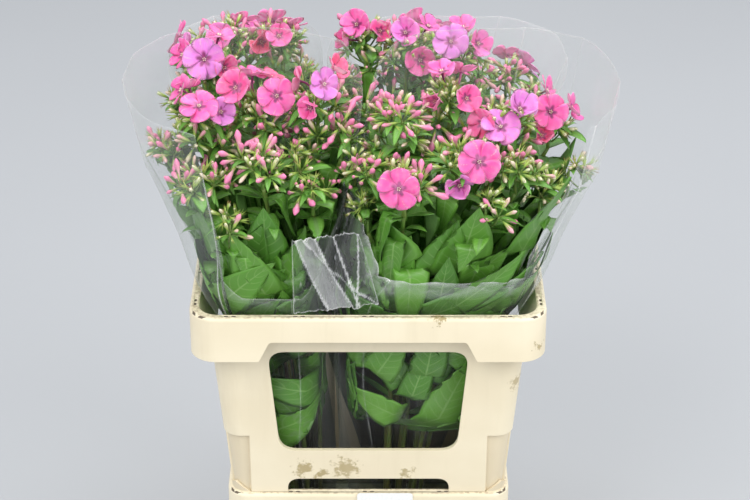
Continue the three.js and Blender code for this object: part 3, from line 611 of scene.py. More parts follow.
def film_rings(bunch, seed, rows=52):
    """A sleeve's surface on a grid of angle and height, in mm, with its haze and painted glints: the film is
    cloudier where crumpled, and painted white glints run along creases, crumple ridges and the cut edge. The
    rows lie closer and closer together towards the mouth."""
    at, height = np.array(bunch["mouth"], float).T
    creases = np.array([at for at, _ in bunch["folds"]], float)
    degrees = np.concatenate([np.arange(0, 360, 2.4), at[:-1], creases, creases + 0.7, creases - 0.7])
    degrees = np.unique(degrees % 360)
    angle = np.radians(degrees)
    mouth = np.interp(degrees, at, height) + 0.8 * np.sin(9 * angle + seed)
    share = 1 - (1 - np.linspace(0, 1, rows)[:, None]) ** 1.9
    z = FILM_LEVELS[0] + (mouth - FILM_LEVELS[0]) * share
    angle = np.broadcast_to(angle, z.shape)
    place = pulled_flat(bunch, angle, z)
    middle = place.mean(axis=1, keepdims=True)
    away = place - middle
    reach = np.linalg.norm(away, axis=-1)
    free = np.clip((z - 480) / 60, 0, 1)
    crumple = ridges(angle, z, seed)
    drawn_in = (0.3 + 1.3 * free) * crumple
    # Haze: cloudier film above the rim and where crumpled, with painted glints on the crumple ridges.
    haze_and_glint = 0.10 * free + 0.26 * ramp_of(crumple, 0.66, 0.88)
    # Each crease draws the film in, and a painted glint runs along it as a thin white line.
    for crease, sharp in bunch["folds"]:
        off = (degrees - crease + 180) % 360 - 180
        drawn_in = drawn_in - 1.0 * np.exp(-((off / 3.0) ** 2)) * sharp * free
        haze_and_glint = haze_and_glint + 1.3 * sharp * (np.abs(off) < 0.3) * (0.35 + 0.65 * ridges(angle, z * 2, seed + 3))
    # A painted glint: a fine white line along the film's cut edge.
    edge_glint = np.exp(-((mouth - z) / 0.9))
    # Where the mouth is low and crumpled the film turns cream-white: painted reflections on the crumples.
    low_mouth = np.clip((585 - mouth) / 60, 0, 1) * bunch["crumpled"] * (z > 470)
    near_top = np.clip(1 - (mouth - z) / 16, 0, 1)
    crush = ridges(angle * 2, z * 3, seed + 7)
    drawn_in = np.clip(drawn_in + low_mouth * near_top * (2 + 11 * crush), 0.15, None)
    haze_and_glint = np.clip(haze_and_glint + 0.5 * edge_glint + low_mouth * near_top**0.5 * (0.12 + 1.4 * crush**2), 0, 1)
    place = middle + away * (1 - drawn_in / np.maximum(reach, 20))[..., None]
    return np.concatenate([place, z[..., None]], -1), haze_and_glint


# The haze attribute raises the film's alpha and whitens it: partly the real cloudiness of crumpled and
# doubled film, partly painted glints and reflections along creases, crumples and the cut edge.
clear_film, tree, surface = new_finish("clear_film", Roughness=0.14, IOR=1.8, Specular_IOR_Level=1.0)
haze_and_glint = node(tree, "Attribute", out="Fac", attribute_name="haze_and_glint")
edge = node(tree, "LayerWeight", 0.35, out="Facing")
wrinkle = noise(node(tree, "TexCoord", out="Object"), 38.0, 6.0, 0.6)
alpha = haze_and_glint * 0.46 + edge**3.0 * 0.32 + ramp(wrinkle, 0.5, 0.75) * 0.02 + 0.008
feed(surface, Alpha=alpha, Base_Color=blended(haze_and_glint, (0.70, 0.72, 0.72), (0.95, 0.95, 0.92)))


def turned_down(columns=60, rows=48):
    """The corner of the second sleeve's mouth, folded down over its front: a sheet that runs straight from
    its lower edge to its upper one, crumpled by up to 7 mm. Sharp folds run down it from (u at the top, u at
    the bottom), and the film lies double between the first two. Its haze is the doubled film's cloudiness and
    painted glints on crumple ridges, along the folds and round its edge."""
    u, v = np.meshgrid(np.linspace(0, 1, columns), np.linspace(0, 1, rows))
    low = np.array([-68.0, -213, 477]) + u[..., None] * [78, -1, 12]
    high = np.array([-68.0, -218, 556]) + u[..., None] * [60, -4, 10]
    crush = ridges(u * 6 + 0.9 * v, v * 90 + 60 * u, 21)
    sheet = low * (1 - v)[..., None] + high * v[..., None]
    sheet[..., 1] += 7 * (crush - 0.4)
    sheet[..., 2] += 5 * (crush - 0.4) * v * (1 - v)
    # Painted glints on the crumple ridges.
    haze_and_glint = 0.04 + 0.9 * ramp_of(crush, 0.48, 0.75) ** 2
    # Painted glints: a thin white line down each sharp fold, which is also pressed in by 3 mm.
    for top, bottom in ((0.05, 0.42), (0.34, 0.70), (0.62, 0.78), (0.98, 0.74), (0.16, 0.98)):
        off = np.abs(u - bottom - (top - bottom) * v)
        haze_and_glint += 0.75 * (off < 0.011)
        sheet[..., 1] -= 3.0 * (1 - ramp_of(off, 0.0, 0.08))
    doubled = (u > 0.42 - 0.37 * v) & (u < 0.70 - 0.36 * v)
    # A painted glint round the sheet's edge.
    rim = np.minimum(np.minimum(u, 1 - u), np.minimum(v, 1 - v)) < 0.009
    haze_and_glint = np.clip(haze_and_glint + 0.42 * doubled + 0.6 * rim, 0, 1)
    first = (np.arange(rows - 1) * columns)[:, None] + np.arange(columns - 1)
    quads = np.stack([first, first + 1, first + columns + 1, first + columns], -1).reshape(-1, 4)
    return sheet.reshape(-1, 3), quads, haze_and_glint.ravel()


def mark(piece, label, values):
    """Stores one number or three for each point of a piece, for its material to read."""
    kind, field = ("FLOAT_VECTOR", "vector") if values.size == 3 * len(values) else ("FLOAT", "value")
    store = piece.data.attributes.new(label, kind, "POINT").data
    store.foreach_set(field, values.astype(np.float32).ravel())


for number, bunch in enumerate(BUNCHES, 1):
    rings, haze_and_glint = film_rings(bunch, number)
    points, quads, _ = closed_bodies(rings[None] * MM, is_wall=True)
    quads, haze_and_glint = quads[: (rings.shape[0] - 1) * rings.shape[1]], haze_and_glint.ravel()
    if number == 2:
        sheet, four, marks = turned_down()
        quads, haze_and_glint = np.concatenate([quads, four + len(points)]), np.concatenate([haze_and_glint, marks])
        points = np.concatenate([points, sheet * MM])
    no_triangles = np.zeros((0, 4), int)
    film = new_piece(f"film_{number}", points, np.insert(quads, 0, 0, 1), no_triangles, [clear_film])
    mark(film, "haze_and_glint", haze_and_glint)
    film.data.shade_smooth()
    thick = film.modifiers.new("thickness", "SOLIDIFY")
    thick.thickness, thick.offset = FILM * MM, -1
    settled(film)
    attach(film, "root")
    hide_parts(f"sleeve_{number}")


# ---- Leafy stems ----
# Each phlox stem stands in the water and leans out with its bunch. It carries pairs of pointed, nearly
# stalkless leaves, each pair square to the next, that press against the film and their neighbours.

STANDING, QUARTER = 90, math.radians(43)  # how high a stem stands straight, and half a leaf's room round it
NECK, FIRST_PAIR, PAIRS_APART = 22, 12, 29.0  # down from head to top, to the first leaves, pair to pair
OUTSIDE = (0, 1, 3, 7, 8, 9, 13)  # plants along the front, with broad leaves over the rim
# Each plant: its bunch, the middle of its head, and its open florets. A floret has the place of its eye from
# the middle of the head, the compass and upward angle it faces, its diameter, its hue from lilac at 0 over
# pink to coral at 1, and how far its petals fold forward, in degrees.
PLANTS = [
    (0, -178, -112, 596, []),
    (0, -150, -182, 592, []),
    (0, -150, -122, 628, [(-2, -26, 26, 280, 62, 36, 0.45, 0), (-20, 6, 28, 200, 30, 30, 0.6, 15),
                          (-14, 18, 25, 130, 65, 28, 0.5, 20), (17, -14, 15, 300, 30, 28, 0.15, 30)]),
    (0, -94, -188, 614, []),
    (0, -102, -112, 636, [(-18, -8, 24, 250, 35, 36, 0.75, 30), (20, -22, 22, 285, 30, 36, 0.5, 0),
                          (12, 16, 24, 50, 70, 28, 0.9, 15), (-4, 12, 28, 60, 75, 28, 0.5, 20)]),
    (0, -150, -50, 650, [(-2, -22, 18, 270, 25, 40, 0.1, 5), (10, 6, 30, 20, 72, 30, 0.6, 15),
                         (-24, 2, 12, 215, 35, 30, 0.55, 20), (15, -18, 8, 300, 20, 28, 0.8, 35),
                         (-22, 18, 14, 170, 35, 28, 0.2, 20)]),
    (0, -46, -120, 646, [(-16, 2, 20, 180, 10, 30, 0.8, 20), (6, -14, 24, 300, 25, 30, 0.08, 5),
                         (16, 6, 30, 340, 40, 28, 1.0, 40), (-6, -23, 5, 255, 15, 26, 0.6, 45)]),
    (1, 33, -206, 604, [(-6, -24, 8, 268, 18, 38, 0.6, 4)]),
    (1, 80, -172, 612, [(19, -24, 10, 272, 25, 40, 0.42, 0), (2, -26, -12, 262, 5, 30, 0.25, 35)]),
    (1, 134, -166, 598, []),
    (1, 26, -134, 636, []),
    (1, 76, -94, 636, [(-14, -20, 8, 240, 20, 28, 0.6, 55), (10, 10, 24, 80, 50, 32, 0.6, 20),
                       (14, -18, 10, 290, 30, 30, 0.7, 30), (-8, 2, 28, 220, 75, 28, 0.35, 20)]),
    (1, 127, -106, 620, [(-24, -18, 6, 235, 25, 30, 0.85, 20), (-6, -26, 6, 275, 60, 38, 0.15, 8),
                         (12, -8, 16, 300, 55, 36, 0.1, 45)]),
    (1, 170, -74, 600, [(-2, -20, 24, 285, 30, 36, 0.65, 5), (20, -2, 20, 350, 30, 30, 0.4, 20),
                        (-10, -26, 2, 275, 35, 26, 0.95, 40)]),
    (2, -132, 44, 640, [(10, 14, 13, 80, 50, 30, 0.5, 10), (-12, -16, 9, 260, 35, 30, 0.3, 20)]),
    (2, -85, 40, 637, [(-19, -14, 8, 272, 20, 30, 1.0, 45), (8, 14, 12, 90, 50, 34, 0.5, 10),
                       (-2, -20, 16, 285, 45, 28, 0.55, 30)]),
    (2, -172, 118, 598, [(-22, 8, 10, 170, 25, 38, 0.5, 5)]),
    (2, -100, 116, 604, [(4, 20, 18, 80, 40, 38, 0.45, 5), (-24, -2, 14, 190, 45, 34, 0.3, 10)]),
    (2, -117, 193, 570, [(6, 22, 6, 85, 20, 38, 0.2, 5), (-24, 8, 6, 140, 20, 34, 0.5, 10)]),
    (3, -3, 44, 643, [(-8, -8, 16, 245, 30, 32, 0.4, 20), (-20, -8, 0, 200, 15, 26, 0.6, 55),
                      (14, -10, 10, 290, 30, 28, 0.7, 35)]),
    (3, 38, 32, 641, [(-2, -8, 14, 265, 40, 32, 0.25, 25), (12, -18, -10, 280, 10, 32, 0.5, 30),
                      (20, 8, 14, 340, 60, 28, 0.3, 15)]),
    (3, 88, 30, 628, [(-8, -16, 22, 270, 35, 36, 0.08, 5), (18, -6, 16, 310, 25, 30, 0.35, 25),
                      (-16, -18, -6, 255, 20, 28, 0.6, 40), (4, 10, 26, 260, 75, 30, 0.6, 25)]),
    (3, 158, 58, 566, [(20, 2, 12, 350, 30, 34, 0.5, 10)]),
    (3, 48, 116, 604, [(0, 22, 16, 95, 35, 38, 0.4, 5), (-22, 0, 16, 170, 50, 34, 0.5, 10)]),
    (3, 142, 134, 560, [(22, 10, 10, 30, 25, 38, 0.2, 5), (2, 22, 16, 80, 45, 32, 0.5, 10)]),
    (3, 66, 196, 570, [(-6, 22, 8, 95, 20, 40, 0.5, 5), (22, 12, 8, 45, 30, 34, 0.3, 10)]),
]
# Side shoots: the plant each leaves, how high, and the middle of its own small head.
SHOOTS = [
    (6, 400, (-50, -176, 584)), (10, 390, (-12, -158, 596)), (7, 380, (0, -174, 562)),
    (4, 420, (-66, -158, 602)), (15, 400, (-62, 20, 606)), (19, 400, (-24, 24, 600)),
    (8, 400, (106, -194, 574)), (9, 400, (158, -150, 566)), (0, 400, (-186, -76, 572)),
    (1, 400, (-124, -204, 562)), (5, 400, (-176, -36, 604)), (13, 400, (188, -104, 566)),
    (6, 430, (-24, -138, 620)), (6, 440, (-30, -64, 618)), (10, 440, (4, -84, 612)),
    (10, 420, (6, -172, 600)), (16, 400, (-176, 76, 560)), (22, 400, (176, 96, 536)),
    (25, 400, (100, 190, 540)), (18, 400, (-84, 196, 540)),
]
MAIN = len(PLANTS)
FOOT_SPREAD = 0.22  # how far the feet of a bunch spread, as a share of how far its heads do
BUNCH = [plant[0] for plant in PLANTS] + [PLANTS[host][0] for host, _, _ in SHOOTS]
HEADS = np.array([plant[1:4] for plant in PLANTS] + [head for _, _, head in SHOOTS], float)
TOPS = HEADS[:, 2] - NECK
FEET = np.array([BUNCHES[number]["foot"] + FOOT_SPREAD * (head[:2] - BUNCHES[number]["middle"])
                 for number, head in zip(BUNCH[:MAIN], HEADS)])


def shoots_of(plant):
    """The numbers of a plant's side shoots, which follow those of the plants."""
    return [number for number, (host, _, _) in enumerate(SHOOTS, MAIN) if host == plant]


def stem_at(plant, height):
    """(x, y) of a stem: straight up to the standing depth, then off by the square of the height. A shoot
    leaves its plant's stem the same way."""
    if plant < MAIN:
        lean = np.clip(height - STANDING, 0, None) ** 2 / (TOPS[plant] - STANDING) ** 2
        return FEET[plant] + (HEADS[plant, :2] - FEET[plant]) * lean[..., None]
    host, start, _ = SHOOTS[plant - MAIN]
    lean = np.clip(height - start, 0, None) ** 2 / (TOPS[plant] - start) ** 2
    return stem_at(host, height) + (HEADS[plant, :2] - stem_at(host, TOPS[plant])) * lean[..., None]


def unit(vectors):
    """The same directions, 1 long."""
    return vectors / np.maximum(np.linalg.norm(vectors, axis=-1, keepdims=True), 1e-9)


CLEAR_OF_FILM, CLEAR_OF_PLANTS, FACETS = 3.4, 1.4, 12  # in mm; and how many flat sides stand for the film


def film_facets(plant, height):
    """The corners of the film round a plant, CLEAR_OF_FILM inside it, and the way each flat side faces."""
    angle = np.arange(FACETS) * math.pi / (FACETS / 2)
    corners = film_outline(BUNCHES[BUNCH[plant]], angle, height[..., None], CLEAR_OF_FILM)
    side = np.roll(corners, -1, -2) - corners
    return corners, unit(np.stack([side[..., 1], -side[..., 0]], -1))


def inside_film(plant, points, soft=3.0):
    """Presses what would stand out of the film back inside, square to each of its sides in turn."""
    corners, outward = film_facets(plant, points[..., 2])
    flat = points[..., :2]
    for side in range(FACETS):
        gap = ((corners[..., side, :] - flat) * outward[..., side, :]).sum(-1)
        back = np.where(gap < soft, soft * np.exp(np.minimum(gap - soft, 0) / soft) - gap, 0)
        flat = flat - outward[..., side, :] * back[..., None]
    return at_height(flat, points[..., 2])


def room(plant, here, direction, height):
    """How far a plant's own space reaches from its stem: half way to each plant of its bunch, less
    CLEAR_OF_PLANTS, and to CLEAR_OF_FILM inside the film. It is never under 5 mm."""
    least = np.full(height.shape, 1e3)
    for other in range(len(HEADS)):
        if other == plant or BUNCH[other] != BUNCH[plant]:
            continue
        apart = stem_at(other, height) - here
        length = np.maximum(np.linalg.norm(apart, axis=-1), 1e-3)
        across = (apart * direction).sum(-1) / length
        half = (length / 2 - CLEAR_OF_PLANTS) / np.maximum(across, 0.01)
        least = np.minimum(least, np.where((across > 0.01) & (length > 16), half, 1e3))
    corners, outward = film_facets(plant, height)
    distance = ((corners - here[..., None, :]) * outward).sum(-1)
    across = (outward * direction[..., None, :]).sum(-1)
    film = np.where(across > 0.01, distance / np.maximum(across, 0.01), 1e3).min(-1)
    return np.maximum(np.minimum(least, film), 5)


def eased(distance, limit):
    """A distance that gives way more and more past two thirds of its limit, and never reaches it."""
    free = limit * 0.66
    rest = np.maximum(limit - free, 1e-6)
    beyond = rest * (1 - np.exp(np.minimum(free - distance, 0) / rest))
    return np.where(distance <= free, distance, free + beyond)


def bent_clear(plant, points, share=1.0, slack=0.0):
    """Bends points clear of the neighbours, straight towards the plant's own stem: within a share of the
    plant's own space, and so much slack in mm."""
    here = stem_at(plant, points[..., 2])
    away = points[..., :2] - here
    distance = np.linalg.norm(away, axis=-1)
    direction = away / np.maximum(distance, 1e-6)[..., None]
    kept = eased(distance, room(plant, here, direction, points[..., 2]) * share + slack)
    return at_height(here + direction * kept[..., None], points[..., 2])


def in_leaf_space(plant, leaf, points):
    """Keeps a leaf's points in its own quarter round the stem, its own band of height and its own layer."""
    up = points[..., 2] - leaf["root"]
    height = leaf["root"] + np.where(up > 0, eased(up, leaf["above"]), -eased(-up, leaf["below"]))
    away = points[..., :2] - stem_at(plant, points[..., 2])
    distance = np.linalg.norm(away, axis=-1)
    aside = np.arctan2(away[..., 1], away[..., 0]) - leaf["compass"]
    aside = (aside + math.pi) % TURN - math.pi
    turned = leaf["compass"] + np.sign(aside) * eased(np.abs(aside), QUARTER)
    clear = at_height(stem_at(plant, height) + on_circle(turned) * distance[..., None], height)
    return bent_clear(plant, clear, leaf["share"])


def chance(a, b, c):
    """A number from 0 to 1 that is always the same for the same three labels."""
    value = np.sin(a * 12.9898 + b * 78.233 + c * 37.719) * 43758.5453
    return value - np.floor(value)


def square_to(axis):
    """Two directions that are square to an axis and to each other."""
    is_upright = np.abs(axis[..., 2:]) > 0.9
    across = unit(np.cross(np.where(is_upright, [1.0, 0, 0], [0, 0, 1.0]), axis))
    return across, np.cross(axis, across)


def swept(path, radius, sides):
    """Round rings of a tube along each path of (bodies, points, 3), with the radius at each point."""
    across, other = square_to(unit(np.gradient(path, axis=1)))
    angle = (np.arange(sides) * TURN / sides)[:, None]
    ring = across[..., None, :] * np.cos(angle) + other[..., None, :] * np.sin(angle)
    return path[..., None, :] + ring * np.broadcast_to(radius, path.shape[:2])[..., None, None]


def lies(across, along, under=0.0):
    """Where points lie across and along a blade, and whether they are on its underside."""
    return np.stack(np.broadcast_arrays(across, along, under), -1)


def grown(name, bodies, skins):
    """One piece from several kinds of closed bodies. Each kind has its rings in mm, its skin's number, where
    its points lie on their blade, a tone, and the points over its two ends, or None for their middles."""
    points, quads, triangles, flat, tones, start = [], [], [], [], [], 0
    for rings, skin, lie, tone, ends in bodies:
        body, four, three = closed_bodies(rings, ends)
        points.append(body)
        quads.append(np.insert(four + start, 0, skin, 1))
        triangles.append(np.insert(three + start, 0, skin, 1))
        start += len(body)
        shape = rings.shape[:3]
        for store, value, width in ((flat, lie, 3), (tones, tone, 1)):
            value = np.broadcast_to(value, (*shape, width))
            tips = value[:, [0, -1]].mean(axis=2)
            store.append(np.concatenate([value.reshape(shape[0], -1, width), tips], 1).reshape(-1, width))
    points, quads, triangles, flat, tones = map(np.concatenate, (points, quads, triangles, flat, tones))
    piece = new_piece(name, points * MM, quads, triangles, skins)
    mark(piece, "lie", flat)
    mark(piece, "tone", tones)
    outwards(piece).data.shade_smooth()
    return piece


def flat_ring(top, below):
    """Round a blade: how far across each point lies, and whether it is underneath."""
    return np.array([*top, *below]), np.repeat([0.0, 1.0], [len(top), len(below)])


def two_faces(ring, half):
    """How far a blade's faces lie from its middle, which is by half its thickness but for its sharp edges."""
    s, under = ring
    return np.where(under > 0, -half, half) * (1 - s**4)


def laid_across(ridge, side, normal, across, lift):
    """A ring at each point of a ridge: its points lie so far across the ridge, and are lifted so far off."""
    return (ridge[..., None, :] + side[..., None, :] * across[..., None]
            + normal[..., None, :] * lift[..., None])


BLADE = flat_ring((-1, -0.75, -0.38, -0.1, 0.1, 0.38, 0.75, 1), (0.6, 0.2, -0.2, -0.6))
BLADE_STEPS = np.array([0.0, 0.04, 0.1, 0.2, 0.31, 0.43, 0.55, 0.67, 0.78, 0.88, 0.96, 1.0])


def blade_half(width, t):
    """Half the width of a pointed oval blade along its length, and the leaf's short stalk."""
    return np.maximum(width / 2 * np.sin(math.pi * t**0.72) ** 0.8 * (1 - 0.3 * t**6), 0.9 * (1 - t) + 0.15)


ON_LEAF, ON_STEM = 0, 1  # the skins of a leafy stem


def leaf_bodies(plant):
    """The leaves of a plant as flattened tubes: a ridge line that leaves the stem, rises and droops with the
    square of its length, and a pointed oval blade across it, folded up along its midrib. The upper four
    pairs hang, and the others rise behind them, close to the stem. A shoot has only the upper four."""
    steps = 8 if plant < MAIN else 4
    step, second = np.repeat(np.arange(steps), 2), np.tile([0, 1], steps)
    between, pair = step % 2, step // 2
    long, wide, steep, twist, ripple, margin, cupped = (
        chance(plant, 2 * pair + second + 1 + 40 * between, kind)[:, None] for kind in range(4, 11))
    hangs, small = (step < 4)[:, None], (step == 0)[:, None]
    compass = chance(plant, 0, 1) * math.pi + (pair % 2 + 2 * second + 0.5 * between) * math.pi / 2
    root = (TOPS[plant] - FIRST_PAIR - PAIRS_APART * step)[:, None]
    layer = np.where(step < 4, 1 - 0.2 * between, 0.75)
    leaf = {"root": root, "compass": compass[:, None], "share": layer[:, None],
            "below": np.where(hangs, 92.0, 24.0),
            "above": np.minimum(np.where(hangs, 20.0, 84.0), TOPS[plant] - 3 - root)}
    length = np.where(small, 70, 98) + 20 * long
    width = np.where(small, 26, 34) + 8 * wide
    rise = np.radians(np.where(hangs, 4 + 18 * steep, 40 + 22 * steep))
    t = BLADE_STEPS[None]
    away, height = length * np.cos(rise) * t, root + length * (np.sin(rise) * t - 0.22 * t**2)
    out = on_circle(compass)[:, None]
    ridge = at_height(stem_at(plant, height) + out * away[..., None], height)
    lost = np.linalg.norm(ridge - bent_clear(plant, ridge, leaf["share"]), axis=-1)
    ridge[..., 2] += np.where(hangs, -1, 1) * 0.85 * lost
    ridge = in_leaf_space(plant, leaf, ridge)
    side = np.concatenate([-out[..., 1:], out[..., :1], np.zeros_like(out[..., :1])], -1)
    along = unit(np.gradient(ridge, axis=1))
    normal = unit(np.cross(along, side))
    twist = (twist - 0.5) * 1.1 * t
    side = side * np.cos(twist)[..., None] + normal * np.sin(twist)[..., None]
    normal = unit(np.cross(along, side))
    half = blade_half(width, t)[..., None]
    s, under = BLADE
    ripple = np.sin(TURN * (5.5 * t[..., None] - np.abs(s)) + 6 * ripple[..., None])
    margin = np.sin(TURN * 2.2 * t[..., None] + 6 * margin[..., None] + 1.2 * np.sign(s))
    relief = (0.24 + 0.14 * cupped[..., None]) * np.abs(s) * half + 0.3 * ripple * (1 - s**2)
    relief = relief + 1.1 * margin * s**2 * np.minimum(half / 8, 1) + two_faces(BLADE, 0.28)
    rings = laid_across(ridge, side, normal, s * half, relief)
    rings = in_leaf_space(plant, {key: value[..., None] for key, value in leaf.items()}, rings)
    tone = 0.12 + 0.6 * chance(plant, pair + 11 * second, 12 + between) + 0.25 * (step < 4)
    return inside_film(plant, rings), ON_LEAF, lies(s, t[..., None], under), tone[:, None, None, None], None


def film_round(bunch, compass, height, inset):
    """The point of a sleeve's outline at a compass angle from its middle."""
    left, right, front, back = film_box(bunch, height)
    half_x, half_y = (right - left) / 2 - inset, (back - front) / 2 - inset
    n = squareness(bunch, compass, height)
    far = (np.abs(np.cos(compass) / half_x) ** n + np.abs(np.sin(compass) / half_y) ** n) ** (-1 / n)
    x, y = (left + right) / 2 + far * np.cos(compass), (front + back) / 2 + far * np.sin(compass)
    return jostled(x, y, height)


def pressed_bodies(plant, count, low, high, inward, width):
    """Leaves with their roots between two heights, which reach past the other stems and lie flat against the
    inside of the film, so far inward from it: the midrib runs from the stem to the film and on up it, and the
    blade, this wide or up to 14 mm wider, is laid round the sleeve's outline. They spread to both sides of
    the straight way outwards."""
    bunch, leaf = BUNCHES[BUNCH[plant]], np.arange(count)
    place, aim, long, wide, tilt, deep, phase = (
        chance(plant, leaf + 1 + low, kind)[:, None, None] for kind in range(61, 68))
    root = low + (high - low) * ((leaf[:, None, None] + place) / count)
    start = stem_at(plant, root)
    out = start - bunch["foot"]
    compass = np.arctan2(out[..., 1], out[..., 0]) + (aim - 0.5) * 2.1
    length, width, tilt = 80 + 40 * long, width + 14 * wide, (tilt - 0.5) * 2.3
    inset = inward + 9 * deep
    t, (s, under) = BLADE_STEPS[None, :, None], BLADE
    height = root + length * t * np.cos(tilt)
    near = [film_round(bunch, compass + off, height, inset) for off in (0.05, -0.05)]
    per_radian = np.linalg.norm(near[0] - near[1], axis=-1) / 0.1
    along, across = length * t * np.sin(tilt), s * blade_half(width, t)
    turn = compass + (along + across * np.cos(tilt)) / per_radian
    height = height - across * np.sin(tilt)
    wave = 1.6 * np.sin(9 * t + 6 * phase) * s**2 + 1.5 * (1 - np.abs(s)) + two_faces(BLADE, -0.28)
    on_film = film_round(bunch, turn, height, inset + 1.6 + wave)
    rings = at_height(start + (on_film - start) * ramp_of(t, -0.02, 0.3)[..., None], height)
    return rings, ON_LEAF, lies(s, t, under), 0.2 + 0.7 * place[..., None], None


def stem_body(plant):
    """The stem: a tube, a little swollen where each pair of leaves joins it, and thinner towards the top."""
    if plant < MAIN:
        low, pairs = [3.3, 30, 60, 90, 120, 160, 200, 240], 5
    else:
        low, pairs = SHOOTS[plant - MAIN][1] + np.array([0, 15, 40]), 2
    roots = TOPS[plant] - FIRST_PAIR - np.arange(pairs) * 2 * PAIRS_APART
    z = np.sort(np.concatenate([low, [TOPS[plant]], roots, roots - 6, roots + 6, roots - 28]))[None]
    joint = np.exp(-(((z[..., None] - roots) / 4.0) ** 2)).sum(-1)
    radius = 2.7 - 0.9 * z / TOPS[plant] + 0.8 * joint
    lie = lies(0.0, z[..., None] / TOPS[plant] * np.ones(8))
    return swept(at_height(stem_at(plant, z), z), radius, 8), ON_STEM, lie, chance(plant, 3, 3), None


# A shared effect: living tissue is never one even colour. Cloudy patches and fine cells vary it.
tissue = bpy.data.node_groups.new("plant_tissue", "ShaderNodeTree")
for name, kind, default in (
    ("Color", "NodeSocketColor", (0.5, 0.5, 0.5, 1)), ("Patch", "NodeSocketColor", (0, 0, 0, 1)),
    ("Scale", "NodeSocketFloat", 30.0), ("Amount", "NodeSocketFloat", 0.4),
):
    tissue.interface.new_socket(name, in_out="INPUT", socket_type=kind).default_value = default
tissue.interface.new_socket("Color", in_out="OUTPUT", socket_type="NodeSocketColor")
tissue.interface.new_socket("Cells", in_out="OUTPUT", socket_type="NodeSocketFloat")
base, patch, scale, amount, _ = (Value(end) for end in tissue.nodes.new("NodeGroupInput").outputs)
place = node(tissue, "TexCoord", out="Object")
patchy = blended(ramp(noise(place, scale, 3.0), 0.38, 0.68) * amount, base, patch)
result = tissue.nodes.new("NodeGroupOutput")
fill(result.inputs["Color"], patchy)
fill(result.inputs["Cells"], noise(place, scale * 24.0, 2.0))


def in_tissue(tree, colour, patch, scale, amount):
    """The shared effect placed in a material: its colour and its cells."""
    colour = node(tree, "Group", colour, patch, scale, amount, node_tree=tissue)
    return colour, Value(colour.socket.node.outputs["Cells"])


def skin_inputs(tree):
    """Where a point lies across and along its leaf, petal or bud, whether it is underneath, and its tone."""
    across, along, under = split(node(tree, "Attribute", out="Vector", attribute_name="lie"))
    return abs(across), along, under, node(tree, "Attribute", out="Fac", attribute_name="tone")


# Leaf: satin green, darker where it is old, with a pale midrib and curved side veins, and a paler, duller
# underside.
leaf_skin, tree, surface = new_finish("leaf_skin", IOR=1.45)
across, along, under, tone = skin_inputs(tree)
colour = blended(tone, (0.042, 0.140, 0.018), (0.135, 0.330, 0.042))
colour, cells = in_tissue(tree, colour, (0.085, 0.27, 0.022), 34.0, 0.45)
midrib = ramp(across + along * 0.03, 0.03, 0.085, 1.0, 0.0)
rank = ((along - across**1.4 * 0.16) * 11.0).math("FRACT")
side_veins = ramp(abs(rank - 0.5), 0.03, 0.11, 1.0, 0.0) * ramp(across, 0.5, 0.98, 0.55, 0.0)
colour = blended((midrib | side_veins) * 0.65, colour, (0.23, 0.40, 0.12))
colour = blended(under * 0.6, colour, (0.14, 0.26, 0.085))
feed(surface, Base_Color=colour, Roughness=ramp(cells, 0.3, 0.7, 0.33, 0.45) + under * 0.2)

# Stem: smooth fresh green, flushed red-brown towards its wet foot.
stem_skin, tree, surface = new_finish("stem_skin", Roughness=0.42)
_, along, _, _ = skin_inputs(tree)
colour = blended(ramp(along, 0.1, 0.8), (0.11, 0.11, 0.03), (0.16, 0.30, 0.055))
feed(surface, Base_Color=in_tissue(tree, colour, (0.20, 0.13, 0.05), 60.0, 0.4)[0])

for plant in range(MAIN):
    pressed = pressed_bodies(plant, 8, low=276, high=462, inward=3.4, width=32)
    parts = [leaf_bodies(plant), pressed, stem_body(plant)]
    if plant in OUTSIDE:
        parts.append(pressed_bodies(plant, 4, low=440, high=500, inward=13, width=42))
    for number in shoots_of(plant):
        parts += [leaf_bodies(number), stem_body(number)]
    stem = grown(f"leafy_stem_{plant + 1:02d}", parts, [leaf_skin, stem_skin])
    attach(stem, "root")
    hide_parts(f"stem_{plant + 1:02d}")


# ---- Flower heads ----
# Each head is a dense, domed panicle. Short branches end in starry clusters of needle-toothed calyxes, some
# bare, some with cream or pink buds, and the open florets stand over them on slender tubes.

GOLDEN = math.pi * (3 - math.sqrt(5))
ON_STALK, ON_CALYX, ON_BUD, ON_BRACT, ON_PETAL, ON_ANTHER = range(6)  # the skins of a flower head


def around_axis(base, axis, radius, height):
    """Rings round an axis from a base: radius and height are arrays of (bodies, rings, points)."""
    across, other = square_to(axis)
    angle = (np.arange(radius.shape[-1]) * TURN / radius.shape[-1])[:, None]
    ring = across[:, None, None] * np.cos(angle) + other[:, None, None] * np.sin(angle)
    return base[:, None, None] + ring * radius[..., None] + axis[:, None, None] * height[..., None]


def toothed(plain, teeth, gaps):
    """Rows of ten values round a ring: plain ones, and a last one that goes from teeth to gaps in turn."""
    rows = [np.full((len(teeth), 10), float(value)) for value in plain]
    return np.stack([*rows, np.where(np.arange(10) % 2 == 0, teeth[:, None], gaps)], 1)


# Tiers of clusters from the top of a head down: how many, how far out and how high from its middle, in mm.
TIERS = ((1, (0, 3), (11, 15)), (5, (14, 19), (0, 11)), (4, (18, 25), (-25, -9)), (3, (18, 27), (-56, -34)))
EACH = 7  # buds in a cluster
HIGH = 616  # heads above this height have all tiers, and riper buds


